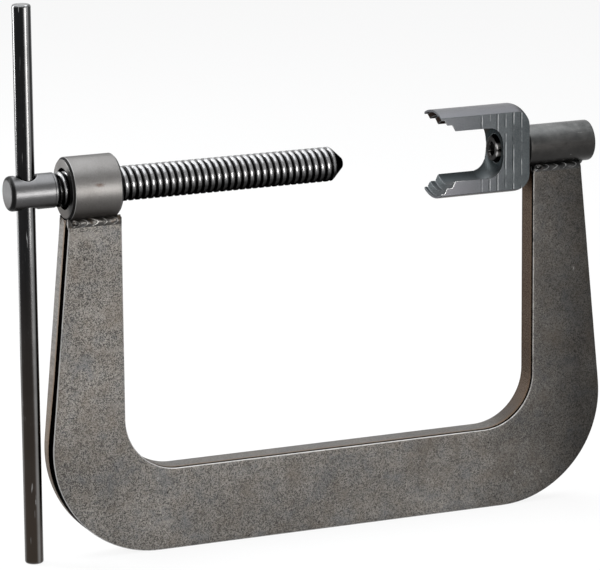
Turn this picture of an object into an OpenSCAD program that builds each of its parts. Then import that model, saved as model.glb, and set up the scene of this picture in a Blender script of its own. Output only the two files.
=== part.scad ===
// Valve spring compressor: a C-frame with a forcing screw on the left leg and a stepped fork on the right leg.
// Millimetres. X runs along the screw towards the fork, Y to the rear, Z up. The frame stands on z = 0.

/* [Frame] */
// Clear width of the throat between the legs
throat_w = 205; // [185:1:235]
// Depth of the throat, from the top of the base to the screw axis
throat_depth = 133.3; // [115:0.1:150]
// Height of the base bar
base_h = 38.1; // [32:0.1:46]
// Thickness of the frame plate
plate_t = 12.7; // [10:0.1:15]
// Width of each leg where it leaves the base
leg_foot_w = 36.5; // [33:0.1:42]
// Width of each leg at its top
leg_top_w = 25.1; // [24:0.1:30]
// Radius of the inner corners of the throat
inner_corner_r = 25.4; // [15:0.1:35]
// Radius of the outer corners of the base
outer_corner_r = 50.8; // [40:0.1:60]

/* [Bosses] */
// Diameter of the threaded boss that carries the screw
screw_boss_d = 28.575; // [25:0.005:33]
// Length of the threaded boss
screw_boss_len = 24; // [21:0.1:27]
// Distance from the throat edge back to the inner end of the threaded boss
screw_boss_setback = 1.4; // [0:0.1:2]
// Diameter of the round stub that carries the fork
fork_boss_d = 19.05; // [16:0.01:24]
// Length of the round stub
fork_boss_len = 33.9; // [30:0.1:40]
// Length of the stub that stands into the throat
fork_boss_in = 3; // [1:0.1:6]
// Chamfer on the ends of both bosses
boss_chamfer = 0.7; // [0.3:0.1:1.2]
// Leg length of the weld beads
weld_leg = 4.2; // [3:0.1:5]
// Leg length of the short bead under the overhang of the stub
end_weld_leg = 3; // [2:0.1:4]

/* [Forcing screw] */
// Major diameter of the screw
screw_d = 15.875; // [14:0.005:17]
// Lead of the trapezoidal thread
pitch = 3.175; // [2.5:0.005:4]
// Depth of the thread
thread_depth = 1.65; // [1.2:0.05:2]
// Radial clearance of the thread crests in the boss
thread_clear = 0.08; // [0.03:0.01:0.1]
// Length of the plain head
head_len = 22.2; // [18:0.1:26]
// Distance between the head and the boss as drawn
head_gap = 4.2; // [3:0.1:8]
// Opening between the point and the fork tips as drawn
point_gap = 46.4; // [35:0.1:60]

/* [Screw point] */
// Length of the conical nose
point_len = 5.5; // [4:0.1:7]
// Diameter of the flat on the nose
point_tip_d = 4.8; // [3:0.1:7]
// Diameter of the spigot that sits in the screw
spigot_d = 8; // [6:0.1:9]
// Length of the spigot
spigot_len = 12; // [8:0.1:18]
// Radial clearance of the spigot in the screw
spigot_clear = 0.05; // [0.02:0.01:0.1]

/* [Tommy bar] */
// Diameter of the bar
bar_d = 8.5; // [7.5:0.1:8.9]
// Length of the bar
bar_len = 256; // [220:1:300]
// Diameter of the cross hole in the screw head
bar_hole_d = 9.525; // [9.5:0.005:10.5]
// Distance from the end of the head to the middle of the cross hole
bar_inset = 8.7; // [8:0.1:10]
// Rounding of the bar ends
bar_end_r = 1.2; // [0.5:0.1:2]

/* [Fork] */
// Diameter of the fork before its flats are milled
fork_d = 41.275; // [40:0.005:46]
// Thickness across the two flats
fork_t = 19.05; // [16:0.01:22]
// Length of the fork
fork_len = 45.2; // [42:0.1:52]
// Thickness of the web behind the bore
fork_web = 13.4; // [12.5:0.1:16]
// Diameter of the bore between the arms
fork_bore_d = 30.16; // [28:0.01:31]
// Diameter of the inner retainer seat
inner_seat_d = 35; // [34:0.1:36]
// Diameter of the outer retainer seat at the tips
outer_seat_d = 39.2; // [38:0.1:39.4]
// Depth of the inner retainer seat from the tips
inner_seat_depth = 5.5; // [4.5:0.1:7]
// Radius in the corner of the bore
bore_corner_r = 7; // [5:0.1:7.2]
// Radius on the rear corner of the fork
fork_rear_r = 6.35; // [4:0.05:8]
// Play between the fork and the end of its stub
fork_play = 0.6; // [0.3:0.1:1]

/* [Fork screw] */
// Shank diameter of the cap screw
cap_d = 7.938; // [6:0.002:8.5]
// Head diameter of the cap screw
cap_head_d = 11.9; // [10:0.1:12.4]
// Head height of the cap screw
cap_head_h = 7.8; // [6:0.1:8.4]
// Width across the flats of the hexagon socket
cap_key = 6.35; // [5:0.05:6.5]
// Depth of the counterbore in the web of the fork
cap_bore_depth = 6; // [5:0.1:7]
// Clearance around the cap screw head
cap_head_clear = 0.8; // [0.4:0.1:1]
// Radial running clearance of the fork on the shank
cap_clear = 0.05; // [0.02:0.01:0.1]
// Length of the shank inside the stub
cap_grip = 18; // [12:0.5:22]

/* [Hidden] */
$fn = 96;
eps = 0.01;
over = 5;
axis_z = base_h + throat_depth;
screw_r = screw_d / 2;
root_r = screw_r - thread_depth;
screw_boss_r = screw_boss_d / 2;
fork_boss_r = fork_boss_d / 2;
leg_tie = 4;
leg_top_z = axis_z - leg_tie;
leg_taper = (leg_foot_w - leg_top_w) / (throat_depth - screw_boss_r);
leg_slope = sqrt(1 + leg_taper * leg_taper);
foot_x = throat_w / 2 + leg_foot_w + leg_taper * base_h;
corner_x = foot_x - leg_taper * outer_corner_r - outer_corner_r * leg_slope;
corner_end = [
  corner_x + outer_corner_r / leg_slope,
  outer_corner_r * (1 + leg_taper / leg_slope)
];
leg_top_x = foot_x - leg_taper * leg_top_z;

screw_boss_x1 = -throat_w / 2 - screw_boss_setback;
screw_boss_x0 = screw_boss_x1 - screw_boss_len;
fork_boss_x0 = throat_w / 2 - fork_boss_in;
fork_boss_x1 = fork_boss_x0 + fork_boss_len;
bore_chamfer = 1.4;

head_x1 = screw_boss_x0 - head_gap;
head_x0 = head_x1 - head_len;
head_chamfer = 1;
bar_x = head_x0 + bar_inset;
bar_hole_chamfer = 0.7;
fork_back = fork_boss_x0 - fork_play;
fork_tip = fork_back - fork_len;
point_tip = fork_tip - point_gap;
point_back = point_tip - point_len;
point_play = 0.2;
point_edge = 0.4;
screw_end = point_back - point_play;
neck_len = 1.2;
thread_x0 = head_x1 + neck_len;
thread_turns = floor((screw_end - thread_x0) / pitch);
flank = thread_depth * tan(14.5);
crest = (pitch - 2 * flank) / 2;
thread_pts = [
  for (i = [0 : thread_turns - 1])
    each [
      [root_r, thread_x0 + i * pitch + crest],
      [screw_r, thread_x0 + i * pitch + crest + flank],
      [screw_r, thread_x0 + i * pitch + 2 * crest + flank],
      [root_r, thread_x0 + (i + 1) * pitch]
    ]
];

fork_r = fork_d / 2;
bore_r = fork_bore_d / 2;
bore_bottom = fork_back - fork_web;
seat_slope = tan(31);
seat_lead = 1.6;
cap_r = cap_d / 2;
cap_head_r = cap_head_d / 2;
cap_seat = bore_bottom + cap_bore_depth;
cap_play = 0.2;
cap_head_x1 = cap_seat - cap_play;
cap_head_x0 = cap_head_x1 - cap_head_h;
cap_end = fork_boss_x0 + cap_grip;
cap_edge = 0.6;
key_depth = cap_head_h / 2;
key_r = cap_key / sqrt(3);

plate_col = [0.47, 0.45, 0.43];
boss_col = [0.55, 0.54, 0.53];
stub_col = [0.28, 0.27, 0.26];
weld_col = [0.36, 0.35, 0.34];
screw_col = [0.33, 0.33, 0.34];
bar_col = [0.2, 0.2, 0.21];
fork_col = [0.38, 0.41, 0.42];
cap_col = [0.1, 0.1, 0.11];

// Turns a profile drawn as radius and station along X into a solid about the screw axis.
module about_axis() {
  translate([0, 0, axis_z])
    rotate([0, 90, 0])
      rotate_extrude()
        children();
}

// Round bar along the screw axis between two stations, with chamfered ends.
module round_bar(x0, x1, r, chamfer) {
  about_axis()
    polygon([
      [0, x0], [r - chamfer, x0], [r, x0 + chamfer],
      [r, x1 - chamfer], [r - chamfer, x1], [0, x1]
    ]);
}

// Plain cylinder along the screw axis, for bores and copes.
module axis_cut(x0, x1, r) {
  translate([x0, 0, axis_z])
    rotate([0, 90, 0])
      cylinder(h = x1 - x0, r = r);
}

// Outline of the frame in front view: base, tapered legs and rounded outer corners.
module frame_outline() {
  polygon([
    [-corner_x, 0], [corner_x, 0], corner_end, [leg_top_x, leg_top_z],
    [-leg_top_x, leg_top_z], [-corner_end.x, corner_end.y]
  ]);
  for (s = [-1, 1])
    translate([s * corner_x, outer_corner_r])
      circle(r = outer_corner_r);
}

// Opening between the legs with rounded lower corners.
module throat_outline() {
  half = throat_w / 2;
  translate([-half, base_h + inner_corner_r])
    square([throat_w, throat_depth]);
  translate([-half + inner_corner_r, base_h])
    square([throat_w - 2 * inner_corner_r, throat_depth]);
  for (s = [-1, 1])
    translate([s * (half - inner_corner_r), base_h + inner_corner_r])
      circle(r = inner_corner_r);
}

module frame_plate() {
  color(plate_col)
    difference() {
      rotate([90, 0, 0])
        linear_extrude(height = plate_t, center = true)
          difference() {
            frame_outline();
            throat_outline();
          }
      axis_cut(-foot_x - over, 0, screw_boss_r);
      axis_cut(0, foot_x + over, fork_boss_r);
    }
}

module screw_boss() {
  bore_r = screw_r + thread_clear;
  color(boss_col)
    difference() {
      round_bar(screw_boss_x0, screw_boss_x1, screw_boss_r, boss_chamfer);
      about_axis()
        polygon([
          [0, screw_boss_x0 - over], [bore_r + bore_chamfer, screw_boss_x0 - over],
          [bore_r + bore_chamfer, screw_boss_x0], [bore_r, screw_boss_x0 + bore_chamfer],
          [bore_r, screw_boss_x1 - bore_chamfer], [bore_r + bore_chamfer, screw_boss_x1],
          [bore_r + bore_chamfer, screw_boss_x1 + over], [0, screw_boss_x1 + over]
        ]);
    }
}

module fork_boss() {
  color(stub_col)
    difference() {
      round_bar(fork_boss_x0, fork_boss_x1, fork_boss_r, boss_chamfer);
      axis_cut(fork_boss_x0 - over, cap_end, cap_r);
    }
}

// Section of a slightly domed fillet weld in the corner between plate face and boss.
module bead_section(boss_r) {
  root = [-plate_t / 2, -sqrt(boss_r * boss_r - plate_t * plate_t / 4)];
  down = [0, -1];
  up = [root.y, -root.x] / boss_r;
  out = (down + up) / norm(down + up);
  middle = root - weld_leg * 0.6 * out;
  difference() {
    translate(middle)
      circle(r = norm(root + weld_leg * down - middle));
    circle(r = boss_r);
    translate([-plate_t / 2, -2 * boss_r])
      square([plate_t + weld_leg, 2 * boss_r]);
  }
}

// Weld bead along X on the front of the plate.
module weld_bead(x0, x1, boss_r) {
  color(weld_col)
    translate([x0, 0, axis_z])
      rotate([90, 0, 90])
        linear_extrude(height = x1 - x0)
          bead_section(boss_r);
}

module weld_screw_front() {
  weld_bead(screw_boss_x0 + boss_chamfer, screw_boss_x1 - boss_chamfer, screw_boss_r);
}

module weld_screw_rear() {
  mirror([0, 1, 0])
    weld_screw_front();
}

module weld_fork_front() {
  weld_bead(throat_w / 2 + boss_chamfer, throat_w / 2 + leg_top_w - boss_chamfer, fork_boss_r);
}

module weld_fork_rear() {
  mirror([0, 1, 0])
    weld_fork_front();
}

// Bead across the outer edge of the leg, under the overhang of the stub.
module weld_fork_end() {
  edge_z = axis_z - fork_boss_r;
  edge_x = foot_x - leg_taper * edge_z;
  color(weld_col)
    difference() {
      rotate([90, 0, 0])
        linear_extrude(height = plate_t - 2 * boss_chamfer, center = true)
          polygon([
            [edge_x, edge_z + end_weld_leg],
            [edge_x + end_weld_leg, edge_z + end_weld_leg],
            [edge_x + end_weld_leg, edge_z],
            [edge_x + leg_taper * end_weld_leg, edge_z - end_weld_leg],
            [edge_x, edge_z - end_weld_leg]
          ]);
      axis_cut(0, foot_x + over, fork_boss_r);
      frame_plate();
    }
}

module forcing_screw() {
  color(screw_col)
    difference() {
      about_axis()
        polygon(concat(
          [
            [0, head_x0], [screw_r - head_chamfer, head_x0], [screw_r, head_x0 + head_chamfer],
            [screw_r, head_x1 - head_chamfer], [screw_r - head_chamfer, head_x1], [root_r, head_x1]
          ],
          thread_pts,
          [[root_r, screw_end], [0, screw_end]]
        ));
      translate([bar_x, 0, axis_z])
        cylinder(h = 2 * screw_d, d = bar_hole_d, center = true);
      for (s = [-1, 1])
        translate([bar_x, 0, axis_z])
          scale([1, 1, s])
            translate([0, 0, screw_r - 2 * bar_hole_chamfer])
              cylinder(h = 2 * bar_hole_chamfer, d1 = bar_hole_d - eps, d2 = bar_hole_d + 4 * bar_hole_chamfer);
      axis_cut(screw_end - spigot_len - point_play, screw_end + over, spigot_d / 2 + spigot_clear);
    }
}

module screw_point() {
  base_r = screw_r - point_edge;
  color(screw_col)
    about_axis()
      polygon([
        [0, screw_end - spigot_len], [spigot_d / 2, screw_end - spigot_len],
        [spigot_d / 2, point_back], [base_r, point_back],
        [point_tip_d / 2, point_tip], [0, point_tip]
      ]);
}

module tommy_bar() {
  bar_r = bar_d / 2;
  color(bar_col)
    translate([bar_x, 0, 0])
      rotate_extrude()
        union() {
          translate([0, bar_end_r])
            square([bar_r, bar_len - 2 * bar_end_r]);
          square([bar_r - bar_end_r, bar_len]);
          for (z = [bar_end_r, bar_len - bar_end_r])
            intersection() {
              translate([bar_r - bar_end_r, z])
                circle(r = bar_end_r);
              square([bar_r, bar_len]);
            }
        }
}

// Turned outline of the fork: cylinder with a rounded rear corner.
module fork_outline() {
  translate([0, fork_tip])
    square([fork_r, fork_len - fork_rear_r]);
  translate([0, fork_tip])
    square([fork_r - fork_rear_r, fork_len]);
  translate([fork_r - fork_rear_r, fork_back - fork_rear_r])
    circle(r = fork_rear_r);
}

// Bored outline of the fork: two stepped retainer seats, round-cornered bore, counterbore and shank hole.
module fork_cavity() {
  outer_r = outer_seat_d / 2;
  inner_r = inner_seat_d / 2;
  polygon([
    [0, fork_tip - over], [outer_r, fork_tip - over], [outer_r, fork_tip + seat_lead],
    [inner_r, fork_tip + (outer_r - inner_r) * seat_slope + seat_lead],
    [inner_r, fork_tip + inner_seat_depth],
    [bore_r, fork_tip + inner_seat_depth + (inner_r - bore_r) * seat_slope],
    [bore_r, bore_bottom - bore_corner_r], [0, bore_bottom - bore_corner_r]
  ]);
  translate([0, bore_bottom - bore_corner_r - over])
    square([bore_r - bore_corner_r, bore_corner_r + over]);
  translate([bore_r - bore_corner_r, bore_bottom - bore_corner_r])
    circle(r = bore_corner_r);
  translate([0, bore_bottom - over])
    square([cap_head_r + cap_head_clear, cap_bore_depth + over]);
  square([cap_r + cap_clear, fork_back + over]);
}

module fork() {
  color(fork_col)
    intersection() {
      about_axis()
        difference() {
          intersection() {
            fork_outline();
            translate([0, fork_tip - over])
              square([fork_r + over, fork_len + 2 * over]);
          }
          fork_cavity();
        }
      translate([fork_tip - over, -fork_t / 2, axis_z - fork_d])
        cube([fork_len + 2 * over, fork_t, 2 * fork_d]);
    }
}

module fork_screw() {
  color(cap_col)
    difference() {
      about_axis()
        polygon([
          [0, cap_head_x0], [cap_head_r - cap_edge, cap_head_x0],
          [cap_head_r, cap_head_x0 + cap_edge], [cap_head_r, cap_head_x1],
          [cap_r, cap_head_x1], [cap_r, cap_end], [0, cap_end]
        ]);
      translate([cap_head_x0 - over, 0, axis_z])
        rotate([0, 90, 0])
          cylinder(h = key_depth + over, r = key_r, $fn = 6);
    }
}

frame_plate();
screw_boss();
fork_boss();
weld_screw_front();
weld_screw_rear();
weld_fork_front();
weld_fork_rear();
weld_fork_end();
forcing_screw();
screw_point();
tommy_bar();
fork();
fork_screw();
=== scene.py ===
"""Looks of a valve spring compressor: a welded C-shaped frame, a forcing screw with a bar, and a fork.

X runs along the screw towards the fork, Y to the rear of the plate and Z up from the base. Sizes are in
millimetres, or in metres where a name ends in _m, and a mesh is written in metres. Each sub-assembly is
a class with its sizes as fields, and each finish is a frozen dataclass that makes one material.
"""

import logging
from dataclasses import dataclass
from enum import Enum
from typing import Union

import bmesh
import bpy
import numpy as np
from mathutils import Matrix, Vector
from numpy.typing import NDArray


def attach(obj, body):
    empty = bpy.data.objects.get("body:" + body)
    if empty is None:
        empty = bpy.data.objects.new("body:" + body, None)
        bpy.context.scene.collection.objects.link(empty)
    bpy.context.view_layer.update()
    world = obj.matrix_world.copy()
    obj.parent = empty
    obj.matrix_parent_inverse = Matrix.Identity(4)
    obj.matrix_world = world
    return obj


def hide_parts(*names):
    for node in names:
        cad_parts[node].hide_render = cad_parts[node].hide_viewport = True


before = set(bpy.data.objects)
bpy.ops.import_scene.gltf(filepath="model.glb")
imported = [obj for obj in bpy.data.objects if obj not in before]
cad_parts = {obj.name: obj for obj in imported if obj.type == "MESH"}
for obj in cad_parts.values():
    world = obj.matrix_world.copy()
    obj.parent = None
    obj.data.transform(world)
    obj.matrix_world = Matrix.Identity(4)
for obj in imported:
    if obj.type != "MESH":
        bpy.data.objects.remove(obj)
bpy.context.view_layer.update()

LOG = logging.getLogger("valve_spring_compressor")
Array = NDArray[np.float64]
Socket = bpy.types.NodeSocket
Pair = tuple[float, float]
Triple = tuple[float, float, float]
Feed = Union["Value", float, Triple]

MM = 0.001
AXIS_Z = 171.4
AXIS_Z_M = AXIS_Z * MM
TURNS = 128
WHITE: Triple = (1.0, 1.0, 1.0)
BLACK: Triple = (0.0, 0.0, 0.0)


class Body(Enum):
    """The bodies that a piece can ride on."""

    FRAME = "frame"
    POINT = "point"
    SCREW = "screw"
    BAR = "bar"
    FORK = "fork"


class Slot(Enum):
    """The material slots of the record."""

    PLATE = "plate_steel"
    TURNED = "turned_steel"
    STUB = "dark_stub_steel"
    WELD = "weld_metal"
    SCREW = "screw_steel"
    BAR = "bar_steel"
    FORK = "fork_steel"
    OXIDE = "black_oxide"


class Axis(Enum):
    """The line that a turned shape goes round."""

    SCREW_LINE = "along X at the height of the screw"
    BAR_LINE = "along Z through the head of the screw"


# Surfaces on a grid


@dataclass
class Sheet:
    """A grid of points in millimetres, with how far each point is rubbed bright.

    Attributes:
        points: rows x columns x 3 coordinates.
        wear: 0 for the plain finish, 1 for bare metal and painted glints, below 0 for painted shade on turned
            parts and for the burnt cut edges of the plate; a number spreads over the grid.
        ring: whether the last column joins the first one.
    """

    points: Array
    wear: Array | float = 0.0
    ring: bool = False

    def __post_init__(self) -> None:
        """Spreads the wear over the grid."""
        self.wear = np.broadcast_to(np.asarray(self.wear, float), self.points.shape[:2]).copy()

    def faces(self) -> NDArray[np.int64]:
        """Quads between neighbouring rows and columns.

        Returns:
            One row of four point numbers for each quad.
        """
        rows, cols = self.points.shape[:2]
        number = np.arange(rows * cols).reshape(rows, cols)
        if self.ring:
            number = np.concatenate([number, number[:, :1]], axis=1)
        corners = [number[:-1, :-1], number[:-1, 1:], number[1:, 1:], number[1:, :-1]]
        return np.stack(corners, axis=-1).reshape(-1, 4)


def closed_run(loop: Array, hub: Array, wear: Array | float) -> list[Sheet]:
    """Closes a section that is carried along a line with a fan at each end.

    Args:
        loop: rows x columns x 3 points, one section in each row.
        hub: rows x 1 x 3 points inside the sections, on which the fans meet.
        wear: rubbed-bright value of the sections.

    Returns:
        The run and its two ends.
    """
    ends = [np.stack([loop[i], np.broadcast_to(hub[i], loop[i].shape)]) for i in (0, -1)]
    return [Sheet(loop, wear, True)] + [Sheet(end, 0.0, True) for end in ends]


def rounded_profile(
        corners: Array, radii: Array, steps: int = 6, rub: Array | float = 1.0) -> tuple[Array, Array]:
    """Rounds the corners of an open profile.

    At a corner with radius r and half opening angle h, the arc starts and ends r / tan(h) along the sides.
    Its points are the quadratic blend (1-t)^2 a + 2t(1-t) c + t^2 b of start a, corner c and end b, close
    to the true arc. An arc takes less than half of a side that it shares.

    Args:
        corners: n x 2 points of the sharp profile.
        radii: n radii; the two ends stay sharp.
        steps: spans on each arc.
        rub: how bright each corner is rubbed, and below 0 how dark it is painted as shade.

    Returns:
        The rounded profile and its wear, which is rub in the middle of an arc.
    """
    shared, alone, tiny = 0.48, 0.95, 1e-6
    to_before = np.vstack([corners[:1], corners[:-1]]) - corners
    to_after = np.vstack([corners[1:], corners[-1:]]) - corners
    len_before = np.maximum(np.linalg.norm(to_before, axis=1), tiny)
    len_after = np.maximum(np.linalg.norm(to_after, axis=1), tiny)
    unit_before, unit_after = to_before / len_before[:, None], to_after / len_after[:, None]
    half = np.arccos(np.clip((unit_before * unit_after).sum(axis=1), -1, 1)) / 2
    round_here = np.r_[False, radii[1:-1] > 0, False]
    room_before = len_before * np.where(np.r_[False, round_here[:-1]], shared, alone)
    room_after = len_after * np.where(np.r_[round_here[1:], False], shared, alone)
    room = np.minimum(room_before, room_after)
    cut = np.minimum(radii / np.maximum(np.tan(half), tiny), room) * round_here
    t = np.linspace(0, 1, steps + 1)[None, :, None]
    start, end = corners + unit_before * cut[:, None], corners + unit_after * cut[:, None]
    arcs = (1 - t) ** 2 * start[:, None] + 2 * t * (1 - t) * corners[:, None] + t**2 * end[:, None]
    bright = np.broadcast_to(np.asarray(rub, float), len(corners)) * (cut > 0)
    points, wear = arcs.reshape(-1, 2), (np.sin(np.pi * t[..., 0]) * bright[:, None]).reshape(-1)
    keep = np.r_[True, np.linalg.norm(np.diff(points, axis=0), axis=1) > tiny]
    return points[keep], wear[keep]


def turned(profile: Array, wear: Array | float, axis: Axis = Axis.SCREW_LINE, centre_x: float = 0.0) -> Sheet:
    """Turns a profile of (distance along the axis, radius) round the axis.

    A point at distance a and radius r goes to (a, r cos t, r sin t) about the line of the screw, and to
    (r cos t, r sin t, a) about the bar, with t once round.

    Args:
        profile: n x 2 distances and radii.
        wear: rubbed-bright value of each profile point.
        axis: which line the profile goes round.
        centre_x: x of the bar's line.

    Returns:
        A closed ring of a sheet.
    """
    angle = np.arange(TURNS) * 2 * np.pi / TURNS
    along = np.repeat(profile[:, :1], TURNS, axis=1)
    across, up = profile[:, 1:] * np.cos(angle), profile[:, 1:] * np.sin(angle)
    if axis is Axis.SCREW_LINE:
        points = np.stack([along, across, AXIS_Z + up], axis=-1)
    else:
        points = np.stack([centre_x + across, up, along], axis=-1)
    return Sheet(points, np.broadcast_to(np.asarray(wear, float), len(profile))[:, None], ring=True)


def read(items: bpy.types.bpy_prop_collection, key: str, width: int, kind: type = np.float32) -> NDArray:
    """Reads one property of all points, edges or faces of a mesh.

    Args:
        items: the points, edges or faces.
        key: name of the property.
        width: how many numbers each one has.
        kind: kind of number.

    Returns:
        One row for each item.
    """
    flat = np.empty(len(items) * width, kind)
    items.foreach_get(key, flat)
    return flat.reshape(-1, width)


def make_object(name: str, points: Array, faces: NDArray, wear: Array, sharp_deg: float) -> bpy.types.Object:
    """Writes points to a mesh, merges doubles, turns faces outwards and marks sharp edges.

    Args:
        name: name of the object.
        points: n x 3 coordinates in millimetres.
        faces: point numbers of each face.
        wear: rubbed-bright value of each point, which also carries painted glints and painted shade, kept as
            the attribute "wear".
        sharp_deg: edges that turn by more than this are shaded sharp.

    Returns:
        The object, linked to the scene.
    """
    double_m, flat_m = 2e-6, 1e-7
    mesh = bpy.data.meshes.new(name)
    mesh.from_pydata((points * MM).tolist(), [], faces.tolist())
    mesh.attributes.new("wear", "FLOAT", "POINT").data.foreach_set("value", wear.astype(np.float32))
    work = bmesh.new()
    work.from_mesh(mesh)
    bmesh.ops.remove_doubles(work, verts=work.verts, dist=double_m)
    bmesh.ops.dissolve_degenerate(work, edges=work.edges, dist=flat_m)
    bmesh.ops.recalc_face_normals(work, faces=work.faces)
    work.to_mesh(mesh)
    work.free()
    mesh.polygons.foreach_set("use_smooth", np.ones(len(mesh.polygons), bool))
    mesh.set_sharp_from_angle(angle=np.radians(sharp_deg))
    piece = bpy.data.objects.new(name, mesh)
    bpy.context.scene.collection.objects.link(piece)
    return piece


def join_sheets(name: str, sheets: list[Sheet], sharp_deg: float = 40.0) -> bpy.types.Object:
    """Joins sheets that share edges into one closed piece.

    Args:
        name: name of the object.
        sheets: the sheets; edges that coincide are merged.
        sharp_deg: edges that turn by more than this are shaded sharp.

    Returns:
        The object.
    """
    starts = np.cumsum([0] + [s.wear.size for s in sheets[:-1]])
    points = np.concatenate([s.points.reshape(-1, 3) for s in sheets])
    faces = np.concatenate([s.faces() + start for s, start in zip(sheets, starts)])
    return make_object(name, points, faces, np.concatenate([s.wear.ravel() for s in sheets]), sharp_deg)


def eased_copy(node: str, name: str, ease: float, sharp_deg: float = 30.0) -> bpy.types.Object:
    """Copies a solid, merges its loose triangles and eases its sharp edges with a Bevel modifier.

    An edge is eased where no edge at its two ends is too short for it, and takes the piece's second material.

    Args:
        node: name of the solid.
        name: name of the copy.
        ease: width of the eased edge.
        sharp_deg: edges that turn by more than this are eased.

    Returns:
        The copy.
    """
    flat_deg, room = 0.2, 1.1
    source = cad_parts[node].data
    source.calc_loop_triangles()
    points = read(source.vertices, "co", 3).astype(float) / MM
    corners = read(source.loop_triangles, "vertices", 3, np.int32)
    piece = make_object(name, points, corners, np.zeros(len(points)), sharp_deg)
    mesh = piece.data
    work = bmesh.new()
    work.from_mesh(mesh)
    bmesh.ops.dissolve_limit(work, angle_limit=np.radians(flat_deg), verts=work.verts, edges=work.edges)
    work.to_mesh(mesh)
    work.free()
    place, ends = read(mesh.vertices, "co", 3), read(mesh.edges, "vertices", 2, np.int32)
    shortest = np.full(len(place), np.inf)
    length = np.linalg.norm(place[ends[:, 0]] - place[ends[:, 1]], axis=1)
    np.minimum.at(shortest, ends.ravel(), np.repeat(length, 2))
    sharp = read(mesh.edges, "use_edge_sharp", 1, bool)[:, 0]
    eased = sharp & (shortest[ends] > room * ease * MM).all(axis=1)
    weight = mesh.attributes.new("bevel_weight_edge", "FLOAT", "EDGE")
    weight.data.foreach_set("value", eased.astype(np.float32))
    bevel = piece.modifiers.new("eased_edges", "BEVEL")
    bevel.width = ease * MM
    bevel.segments = 3
    bevel.limit_method = "WEIGHT"
    bevel.use_clamp_overlap = False
    bevel.harden_normals = True
    bevel.material = 1
    return piece


# Nodes of a material


class Value:
    """A number, vector or colour in a node tree; arithmetic on it adds nodes."""

    def __init__(self, desk: "Desk", socket: Socket) -> None:
        """Keeps the desk and the output that gives the value."""
        self.desk, self.socket = desk, socket

    def math(self, way: str, other: "Value | float" = 0.0) -> "Value":
        """Arithmetic of the named kind with another number."""
        return self.desk.node("Math", 0, {0: self, 1: other}, operation=way)

    def __add__(self, other: "Value | float") -> "Value":
        """The sum."""
        return self.math("ADD", other)

    def __sub__(self, other: "Value | float") -> "Value":
        """The difference."""
        return self.math("SUBTRACT", other)

    def __mul__(self, other: "Value | float") -> "Value":
        """The product."""
        return self.math("MULTIPLY", other)

    def __truediv__(self, other: "Value | float") -> "Value":
        """The quotient."""
        return self.math("DIVIDE", other)

    def __abs__(self) -> "Value":
        """The number without its sign."""
        return self.math("ABSOLUTE")

    def most(self, other: "Value | float") -> "Value":
        """The larger of two numbers."""
        return self.math("MAXIMUM", other)

    def above(self, limit: float) -> "Value":
        """1 above a limit and 0 below it."""
        return self.math("GREATER_THAN", limit)

    def below(self, limit: float) -> "Value":
        """1 below a limit and 0 above it."""
        return self.math("LESS_THAN", limit)

    def part(self, axis: str) -> "Value":
        """One coordinate of a vector."""
        return self.desk.node("SeparateXYZ", axis, {0: self})

    def span(self, low: float, high: float, to_low: float = 0.0, to_high: float = 1.0) -> "Value":
        """Maps the range from low to high onto the range from to_low to to_high, and clamps it there."""
        ends = {"From Min": low, "From Max": high, "To Min": to_low, "To Max": to_high}
        return self.desk.node("MapRange", 0, {"Value": self} | ends)


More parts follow.
